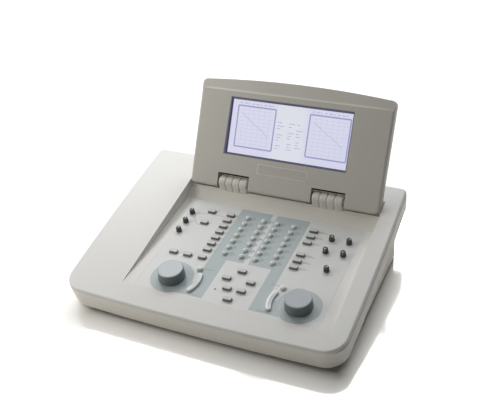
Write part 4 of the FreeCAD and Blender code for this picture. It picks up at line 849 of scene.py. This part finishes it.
def cap_places(node, apart=False):
    """Middles of a row of caps one pitch apart, from the rearmost, and one that stands apart."""
    low, high = cap_span(node)
    middle, deep = (low[0] + high[0]) / 2, cap_depth(low, high)
    span = high[1] - low[1] - deep
    rows = int(COLUMN_ROWS if apart else round(span / ROW_PITCH) + 1)
    places = [(middle, high[1] - deep / 2 - ROW_PITCH * row) for row in range(rows)]
    return places + ([(middle, low[1] + deep / 2)] if apart else [])


def cap_depth(low, high):
    """A cap's depth, front to back: a round one's is its width, an oblong one's is its own."""
    wide = high[0] - low[0]
    return wide if wide < 11 * MM else OBLONG_DEPTH


low, high = cap_span("centre_key_1")
OBLONG_WIDTH, OBLONG_DEPTH, OBLONG_HEIGHT = high - low * (1, 1, 0)
low, high = cap_span("round_keys_1")
ROUND_RADIUS, ROUND_HEIGHT = (high[0] - low[0]) / 2, high[2]
caps = np.array([OBLONG_WIDTH, OBLONG_DEPTH, OBLONG_HEIGHT, ROUND_RADIUS, ROUND_HEIGHT])
print("oblong width, depth and height, round radius and height", (caps / MM).round(2), "mm")

# %% Round keys
dome = crown(KEY_FOOT, ROUND_HEIGHT, 2.4 * MM, ROUND_RADIUS - 0.1 * MM, 1.3 * MM)
ROUND_NODES = [f"round_keys_{n}" for n in (1, 2, 3, 4)]
for name in ROUND_NODES:
    keys = [moulded(panel, place, disc(ROUND_RADIUS, 28), dome) for place in cap_places(name)]
    stand_in(name, "_domes", [(key_white, keys)])
    print(name, len(keys), "keys")

# %% Oblong keys
cap_outline = rounded_box(OBLONG_WIDTH, OBLONG_DEPTH, 1.8 * MM)
cap_profile = crown(KEY_FOOT, OBLONG_HEIGHT, 0.8 * MM, OBLONG_DEPTH / 2 - 0.1 * MM, 0.15 * MM)
OBLONG = {name: cap_places(name, apart=name == "left_column_keys")
          for name in nodes if slot_of[name] == "key_grey"}
for name, places in OBLONG.items():
    keys = [moulded(panel, place, cap_outline, cap_profile) for place in places]
    stand_in(name, "_caps", [(oblong_finish, keys)])
print(sum(len(places) for places in OBLONG.values()), "oblong keys")

# %% [markdown]
# ## Level dials and small knobs
# A dial is a low drum that tapers a little, with a shallow knurl round its side and a soft rim. The
# knurl is a ripple of the radius that fades in above the skirt and out below the rim. A small knob
# is a slim drum with a pale pointer, which is a stroke over its top and one down its side.

# %% Dials
DIAL_RADIUS, DIAL_TOP_RADIUS, DIAL_FOOT, DIAL_RIM = 23.4 * MM, 22.2 * MM, 0.8 * MM, 1.6 * MM


def knurled_dial(place, flutes=60, around=360, ripple=0.22 * MM):
    """Rings up the drum. Radius falls in a straight line from foot to top, less the ripple times
    a raised cosine of the angle, and a window keeps the ripple off the skirt and the rim."""
    angle = np.arange(around) * 2 * math.pi / around
    t = np.linspace(0, 1, 22)
    height = DIAL_FOOT + t * (DIAL_TOP - DIAL_RIM - DIAL_FOOT)
    window = np.clip(t / 0.12, 0, 1) * np.clip((0.94 - t) / 0.1, 0, 1)
    wall = DIAL_RADIUS + t * (DIAL_TOP_RADIUS - DIAL_RADIUS)
    radius = wall[:, None] - ripple * window[:, None] * (0.5 + 0.5 * np.cos(flutes * angle))
    turn = np.linspace(0, math.pi / 2, 9)[1:]
    rim = DIAL_TOP_RADIUS - DIAL_RIM * (1 - np.cos(turn))
    inner = np.linspace(DIAL_TOP_RADIUS - DIAL_RIM, 1 * MM, 8)[1:]
    sunk = 0.25 * MM * (1 - (inner / inner[0]) ** 2)
    radius = np.concatenate([radius, np.concatenate([rim, inner])[:, None] + np.zeros(around)])
    height = np.r_[height, DIAL_TOP - DIAL_RIM * (1 - np.sin(turn)), DIAL_TOP - sunk]
    rings = np.stack([place[0] + radius * np.cos(angle), place[1] + radius * np.sin(angle),
                      height[:, None] + np.zeros_like(radius)], -1)
    return loft(panel.place(rings))


for side, (x, _) in DIALS.items():
    stand_in(f"{side}_dial", "_drum", [(dial_finish, [knurled_dial((x, DIAL_ALONG))])])
print("dials", [round(1000 * x, 1) for x, _ in DIALS.values()], "mm across")

# %% Knobs
KNOB_RADIUS, KNOB_TOP, POINTER_WIDTH = 5.3 * MM, 10.1 * MM, 1.3 * MM
# A pointer is two strokes, over the top and down the side: from and to, out from the knob's
# middle, and foot and head, above the panel.
POINTER = ((0.3 * MM, 3.6 * MM, KNOB_TOP - 0.3 * MM, KNOB_TOP - 0.01 * MM),
           (3.9 * MM, 4.78 * MM, 2.9 * MM, 8.6 * MM))
# Where each pointer stands, in degrees clockwise from the back.
KNOB_TURNS = {"left_knob_1": 35, "left_knob_2": -20, "left_knob_3": 10, "right_knob_1": 120,
              "right_knob_2": 70, "right_knob_3": 180, "right_knob_4": 172, "right_knob_5": 60}
knob_profile = np.array([(0, 0.6), (0, 2.0), (0.25, 2.5), (0.6, 8.4), (0.85, 9.2), (1.4, 9.8),
                         (2.1, 10.05), (5.2, 10.05)]) * MM
for name, degrees in KNOB_TURNS.items():
    place = np.array(panel.read(joints[name + "_turn"]["pos_m"])[:2])
    turn = math.radians(degrees)
    way = np.array((math.sin(turn), math.cos(turn)))
    drum = moulded(panel, place, disc(KNOB_RADIUS), knob_profile)
    lines = [strokes(panel, place + way * start, place + way * end, POINTER_WIDTH, foot, head)
             for start, end, foot, head in POINTER]
    stand_in(name, "_cap", [(knob_dark, [drum]), (knob_line, lines)])
print(len(KNOB_TURNS), "knobs")

# %% [markdown]
# ## Bars and their buttons
# Beside each dial a curved white bar follows its edge, with a round button beyond its end. The
# bar's outline is two arcs about the dial and a half circle at each end, so an inset only changes
# the radii.

# %% Curved bars
BAR_RADIUS, BAR_WIDTH, BAR_HEIGHT = 49 * MM, 9.5 * MM, 4.6 * MM
BAR_FROM, BAR_TO, BUTTON_AT = -25, 19, 37.5  # degrees round the dial, up from its inward side
BUTTON_RADIUS = 5 * MM


def bar_outline(inward, steps=25):
    """Outer arc, end cap, inner arc and end cap about the dial, anticlockwise."""
    low, high = math.radians(BAR_FROM), math.radians(BAR_TO)
    arc, cap = on_circle(np.linspace(low, high, steps)), np.linspace(0, math.pi, 9)[1:-1]

    def outline(inset):
        half = BAR_WIDTH / 2 - inset
        far_end = BAR_RADIUS * on_circle(high) + half * on_circle(cap + high)
        near_end = BAR_RADIUS * on_circle(low) + half * on_circle(cap + math.pi + low)
        outer, inner = (BAR_RADIUS + half) * arc, (BAR_RADIUS - half) * arc[::-1]
        ring = np.concatenate([outer, far_end, inner, near_end])
        return ring if inward > 0 else (ring * (-1, 1))[::-1]
    return outline


def round_dial(side, radius, degrees):
    """A place round a dial, at an angle up from the line that runs inwards."""
    x, inward = DIALS[side]
    turn = math.radians(degrees)
    return np.array([x + inward * radius * math.cos(turn), DIAL_ALONG + radius * math.sin(turn)])


for side, (x, inward) in DIALS.items():
    profile = crown(KEY_FOOT, BAR_HEIGHT, 1.5 * MM, BAR_WIDTH / 2 - 0.1 * MM, 0.5 * MM)
    bar = moulded(panel, (x, DIAL_ALONG), bar_outline(inward), profile)
    stand_in(f"{side}_present_bar", "_cap", [(bar_white, [bar])])
    profile = crown(KEY_FOOT, ROUND_HEIGHT, 1.8 * MM, BUTTON_RADIUS - 0.1 * MM, 0.9 * MM)
    button = moulded(panel, round_dial(side, BAR_RADIUS, BUTTON_AT), disc(BUTTON_RADIUS), profile)
    stand_in(f"{side}_bar_button", "_cap", [(key_white, [button])])
print("bars from", BAR_FROM, "to", BAR_TO, "degrees")

# %% [markdown]
# ## Marks on the film
# Fine lines lead from the bars to the edge of their zone, dots run round one dial, and short plain
# dashes stand where a panel carries its legends. Ink on a film is a layer of its own, so each is a
# thin stroke with real edges that stays crisp however close the camera comes. A small dark lamp
# stands by the cluster of keys in front.

# %% Ink
INK_LOW, INK_HIGH = -0.05 * MM, 0.06 * MM
ink_dark = plastic("dark print", (0.16, 0.18, 0.18), 0.5)
ink_light = plastic("light print", (0.70, 0.74, 0.72), 0.5)
ink_soft = plastic("soft print", (0.27, 0.31, 0.31), 0.5)


def ink(start, end, width):
    """A printed line on the film."""
    return strokes(panel, start, end, width, INK_LOW, INK_HIGH)


def dash(x, v, length, width):
    """A printed line that runs straight across from a place."""
    return ink((x, v), (x + length, v), width)


print("ink", round(1000 * INK_HIGH, 2), "mm thick over the film")

# %% Legends and leaders
LEGEND_GAP = 9.5 * MM  # from an oblong key's middle to its legend
KNOB_LEADS = (((-110, 205), (-88, 212)), ((-88, 212), (-52, 212)),  # from the left knobs, in mm
              ((-110, 196), (-96, 179)), ((-96, 179), (-88, 178.5)))
legends = []
for n, name in enumerate(ROUND_NODES):
    for row, (x, v) in enumerate(cap_places(name)):
        long = (9 + 2.5 * math.sin(2.3 * row + 1.7 * n)) * MM
        start = x + ROUND_RADIUS + 2.2 * MM
        legends += [dash(start, v + 2.2 * MM, min(long, 11 * MM), 2.2 * MM),
                    dash(start, v - 1.6 * MM, long * 0.62, 1.9 * MM),
                    dash(x - 4 * MM, v - 7.4 * MM, long * 0.8, 1.5 * MM),
                    dash(start + 1 * MM, v + 5.3 * MM, long * 0.7, 1.2 * MM)]
soft = [dash(x + LEGEND_GAP, v + 2.0 * MM, (7 + 1.5 * math.sin(3.1 * k)) * MM, 0.7 * MM)
        for k, (x, v) in enumerate(OBLONG["left_column_keys"][:COLUMN_ROWS])]
leaders = []
for name in ("right_keys_upper", "right_keys_lower"):
    for k, (x, v) in enumerate(OBLONG[name]):
        leaders.append(dash(x + LEGEND_GAP, v, (17 - 3 * k) * MM, 0.7 * MM))
        soft.append(dash(x + LEGEND_GAP, v + 2.6 * MM, (11 + 2 * k) * MM, 0.6 * MM))
for start, end in KNOB_LEADS:
    leaders.append(ink(np.array(start) * MM, np.array(end) * MM, 0.6 * MM))
for side, (x, inward) in DIALS.items():
    for angle, gap, reach in ((BUTTON_AT, 7 * MM, 17 * MM), (BAR_FROM - 6, 5 * MM, 16 * MM)):
        start = round_dial(side, BAR_RADIUS + gap, angle)
        leaders.append(ink(start, start + (inward * reach, 0), 0.7 * MM))
piece("panel_print", [(ink_dark, leaders), (ink_soft, legends + soft)], "console")
print(len(legends) + len(soft) + len(leaders), "printed lines")

# %% Dots and lamp
DOT_CIRCLE, DOT_RADIUS = 31 * MM, 0.9 * MM
LAMP_PLACE, LAMP_RADIUS = (11.3 * MM, 34 * MM), 1.5 * MM
dots = [moulded(panel, round_dial("right", DOT_CIRCLE, angle), disc(DOT_RADIUS, 12),
                [(0, INK_LOW), (0, INK_HIGH * 0.8)]) for angle in np.linspace(62, -25, 8)]
lamp = moulded(panel, LAMP_PLACE, disc(LAMP_RADIUS, 20),
               crown(-MM, 0.9 * MM, 0.6 * MM, LAMP_RADIUS - 0.1 * MM, 0.2 * MM))
piece("panel_dots", [(ink_light, dots), (knob_dark, [lamp])], "console")
print(len(dots), "dots and a small lamp")

# %% [markdown]
# ## The display and its picture
# The display shows two hearing charts, one for each ear: a frame, a faint grid and a line that
# falls to the right, with rows of plain marks between them and above. Each line is a thin stroke
# that stands a little out of the lit face, so that it stays crisp from close by.

# %% Display panel
LCD_FACE, LCD_BACK = 7.0 * MM, 1.0 * MM
PANE_FACE, PANE_BACK, WINDOW_LAP = 8.5 * MM, 7.5 * MM, 3 * MM
screen_centre = (SCREEN_MIDDLE, (SCREEN_FOOT + SCREEN_HEAD) / 2)
screen_sides = (2 * SCREEN_HALF + 2 * WINDOW_LAP, SCREEN_HEAD - SCREEN_FOOT + 2 * WINDOW_LAP)
screen_outline = rounded_box(*screen_sides, MM)
module = moulded(lid, screen_centre, screen_outline, chamfered(LCD_BACK, LCD_FACE, 0.3 * MM))
piece("display_panel", [(lcd, [module])], "lid", ["lcd_module"])
print("display", [round(1000 * side) for side in screen_sides], "mm")

# %% Charts and marks
PIXEL_LOW, PIXEL_HIGH = LCD_FACE - 0.05 * MM, LCD_FACE + 0.05 * MM
CHARTS = ((-69, 6, 70, 146), (72.5, 149, 70, 146))  # left, right, foot and head in millimetres
MARK_LEVELS = (124, 118, 113, 107, 102, 97, 92, 87, 82, 77)  # rows of marks between the charts
MARK_STARTS = (12, 34, 50)


def pixel_line(start, end, width):
    """A line on the display. Places and width are in millimetres."""
    return strokes(lid, np.array(start) * MM, np.array(end) * MM, width * MM, PIXEL_LOW, PIXEL_HIGH)


def pixel_dash(start, level, length, width):
    """A level line on the display."""
    return pixel_line((start, level), (start + length, level), width)


frames, grids, marks = [], [], []
for left, right, foot, head in CHARTS:
    corners = np.array([(left, foot), (right, foot), (right, head), (left, head), (left, foot)])
    frames.append(pixel_line(corners[:-1], corners[1:], 2.6))
    grids += [pixel_dash(left + 4, level, right - left - 8, 0.4)
              for level in np.linspace(foot, head, 12)[1:-1]]
    grids += [pixel_line((x, foot + 3), (x, head - 3), 0.3) for x in np.linspace(left, right, 8)[1:-1]]
    t = np.linspace(0, 1, 8)
    fall = head - 14 - 42 * t ** 1.3 - 3 * np.sin(5 * t)
    curve = np.stack([left + 10 + (right - left - 20) * t, fall], 1)
    marks.append(pixel_line(curve[:-1], curve[1:], 0.7))
    marks += [pixel_dash(left + 3 + 8 * k, head + 5, 4 + 1.6 * math.sin(2.1 * k), 1.3) for k in range(9)]
for row, level in enumerate(MARK_LEVELS):
    marks += [pixel_dash(start, level, 9 + 3.5 * math.sin(1.9 * row + 2.3 * k), 1.1)
              for k, start in enumerate(MARK_STARTS) if (row + k) % 4 != 3]
piece("display_lines", [(line_blue, frames), (line_faint, grids), (line_dash, marks)], "lid")
print(len(frames), "charts,", len(grids), "grid lines and", len(marks), "marks")

# %% Window
pane = moulded(lid, screen_centre, screen_outline, chamfered(PANE_BACK, PANE_FACE, 0.2 * MM))
piece("window_pane", [(window_clear, [pane])], "lid", ["screen_window"])
print("window", round(1000 * (PANE_FACE - PANE_BACK), 1), "mm thick")

# %% [markdown]
# ## Floor and background
# The instrument stands on a white glossy surface that fades to pure white, and close to the case it
# holds a painted soft shadow and a faint mirror image. The camera, and any gloss or glass, sees white
# made by a strength of 1 where nothing shades it. Other rays see plain white paint, so the light that
# bounces from the floor is ordinary. The glow that makes the white is taken down towards the case as
# a painted shadow: widely round the foot, and once more tightly under it, where the paint is darkened
# too. Far away the glow rises to 1, so that floor and background meet unseen.

# %% What the camera, gloss and glass see


def seen_directly(recipe):
    """1 for rays from the camera, off gloss or through glass, and 0 for all others."""
    path = recipe.node("ShaderNodeLightPath", {})
    rays = [recipe.field(path.outputs[name])
            for name in ("Is Camera Ray", "Is Glossy Ray", "Is Transmission Ray")]
    return rays[0].math("MAXIMUM", rays[1]).math("MAXIMUM", rays[2])


# %% Floor
FLOOR_HALF = 6.0
corners = [(x * FLOOR_HALF, y * FLOOR_HALF, 0) for x, y in ((-1, -1), (1, -1), (1, 1), (-1, 1))]
floor_mesh = bpy.data.meshes.new("floor")
floor_mesh.from_pydata(corners, [], [(0, 1, 2, 3)])
floor = add_object("floor", floor_mesh)
print("floor", 2 * FLOOR_HALF, "m wide")

# %% The floor's gloss and shade
FLOOR_PAINT, PAINTED_CONTACT_SHADOW = rgb(0.82, 0.81, 0.785), rgb(0.10, 0.095, 0.085)
MIRROR = 0.27  # share of the mirror image
FOOT_SIDE, FOOT_REACH = 228 * MM, 186 * MM  # half width and depth of the shaded foot
FOOT_MIDDLE = (22 * MM, -12 * MM)  # its middle: the left side stays in the light
CONTACT_FADE, CONTACT_DEPTH = 30 * MM, 0.75
TIGHT_INSET, TIGHT_FADE, TIGHT_DEPTH = 7 * MM, 17 * MM, 0.85
FLOOR_GLOW = 0.42  # near the case
FAR_MIDDLE, FAR_SPREAD = 1.0, 0.9  # the glow rises to 1 over this distance from the case
recipe = Recipe("floor gloss")
recipe.surface(Base_Color=rgb(0.9, 0.89, 0.87), Roughness=0.6)
x, y, _ = recipe.place_fields()


def foot_shade(inset, fade, depth):
    """depth * exp(-distance / fade), where the distance is from the foot's outline less the inset."""
    beside = (abs(x - FOOT_MIDDLE[0]) - (FOOT_SIDE - inset)).math("MAXIMUM", 0.0)
    ahead = (abs(y - FOOT_MIDDLE[1]) - (FOOT_REACH - inset)).math("MAXIMUM", 0.0)
    return (length_of(beside, ahead) * (-1 / fade)).math("EXPONENT") * depth


# Painted shadow round the case's foot: near and tight take the glow down, and tight darkens the paint.
near = foot_shade(0, CONTACT_FADE, CONTACT_DEPTH)
tight = foot_shade(TIGHT_INSET, TIGHT_FADE, TIGHT_DEPTH)
far = length_of(x, y).rise(FAR_MIDDLE, FAR_SPREAD)
glow = recipe.mix(far, rgb(FLOOR_GLOW, FLOOR_GLOW, FLOOR_GLOW), rgb(1, 1, 1))
for shade in (near, tight):
    glow = recipe.mix(shade, glow, rgb(0, 0, 0))
shaded = recipe.node("ShaderNodeBsdfPrincipled", {
    "Base Color": recipe.mix(tight, FLOOR_PAINT, PAINTED_CONTACT_SHADOW), "Roughness": 0.6,
    "Emission Color": glow, "Emission Strength": 1.0})
mirror = recipe.node("ShaderNodeBsdfGlossy", {"Color": rgb(1, 0.985, 0.96), "Roughness": 0.12})
polished = recipe.blend(MIRROR, shaded, mirror)
floor_mesh.materials.append(recipe.show(recipe.blend(seen_directly(recipe), recipe.shader, polished)))
print("floor mirrors", MIRROR, "and glows", FLOOR_GLOW, "near the case")

# %% World
SKY_STRENGTH = 0.06
world = bpy.data.worlds.new("studio")
bpy.context.scene.world = world
world.use_nodes = True
sky = Recipe.__new__(Recipe)  # a recipe over the world's own nodes
sky.tree = world.node_tree
background = sky.tree.nodes["Background"]
strength = seen_directly(sky) * (1 - SKY_STRENGTH) + SKY_STRENGTH
sky.feed(background.inputs["Color"], sky.mix(seen_directly(sky), rgb(1, 0.94, 0.84), rgb(1, 1, 1)))
sky.feed(background.inputs["Strength"], strength)
print("sky", SKY_STRENGTH)

# %% [markdown]
# ## Soft light
# The light comes from behind. One broad lamp stands high behind the lid, so the lid's shadow falls
# on the rear of the panel, and a small one behind the left shoulder brightens the slab's rear left.
# A broad one overhead fills the well. A small one close by on the left grades the lid and the front
# from left to right, and a weak warm one stands low in front. Gloss doesn't show that last one, so
# that it puts no glare on the display.

# %% Lamps
MIDDLE = (0, 0, 0.1)  # what every lamp faces
WHITE, WARM_WHITE, WARM = (1, 1, 1), (1, 0.98, 0.95), (1, 0.95, 0.87)
LAMPS = {  # place, side, watts, colour and whether gloss shows it
    "rear_light": ((0.0, 1.2, 1.2), 0.9, 13.3, WHITE, True),
    "rear_left_light": ((-0.55, 0.45, 0.85), 0.35, 3.6, WHITE, True),
    "overhead_light": ((0.4, 0.3, 1.75), 1.0, 3.9, WHITE, True),
    "near_left_light": ((-0.75, -0.25, 0.65), 0.35, 2.6, WARM_WHITE, True),
    "front_left_light": ((-1.0, -0.9, 0.35), 0.6, 3.4, WARM, False),
}
for name, (place, side, watts, colour, in_gloss) in LAMPS.items():
    softbox = bpy.data.lights.new(name, "AREA")
    softbox.shape, softbox.size, softbox.energy, softbox.color = "SQUARE", side, watts, colour
    made = add_object(name, softbox)
    made.location = place
    made.rotation_euler = (Vector(MIDDLE) - Vector(place)).to_track_quat("-Z", "Y").to_euler()
    made.visible_glossy = in_gloss
print(len(LAMPS), "lamps")

# %% Finish
bpy.context.scene.view_settings.view_transform = "Standard"
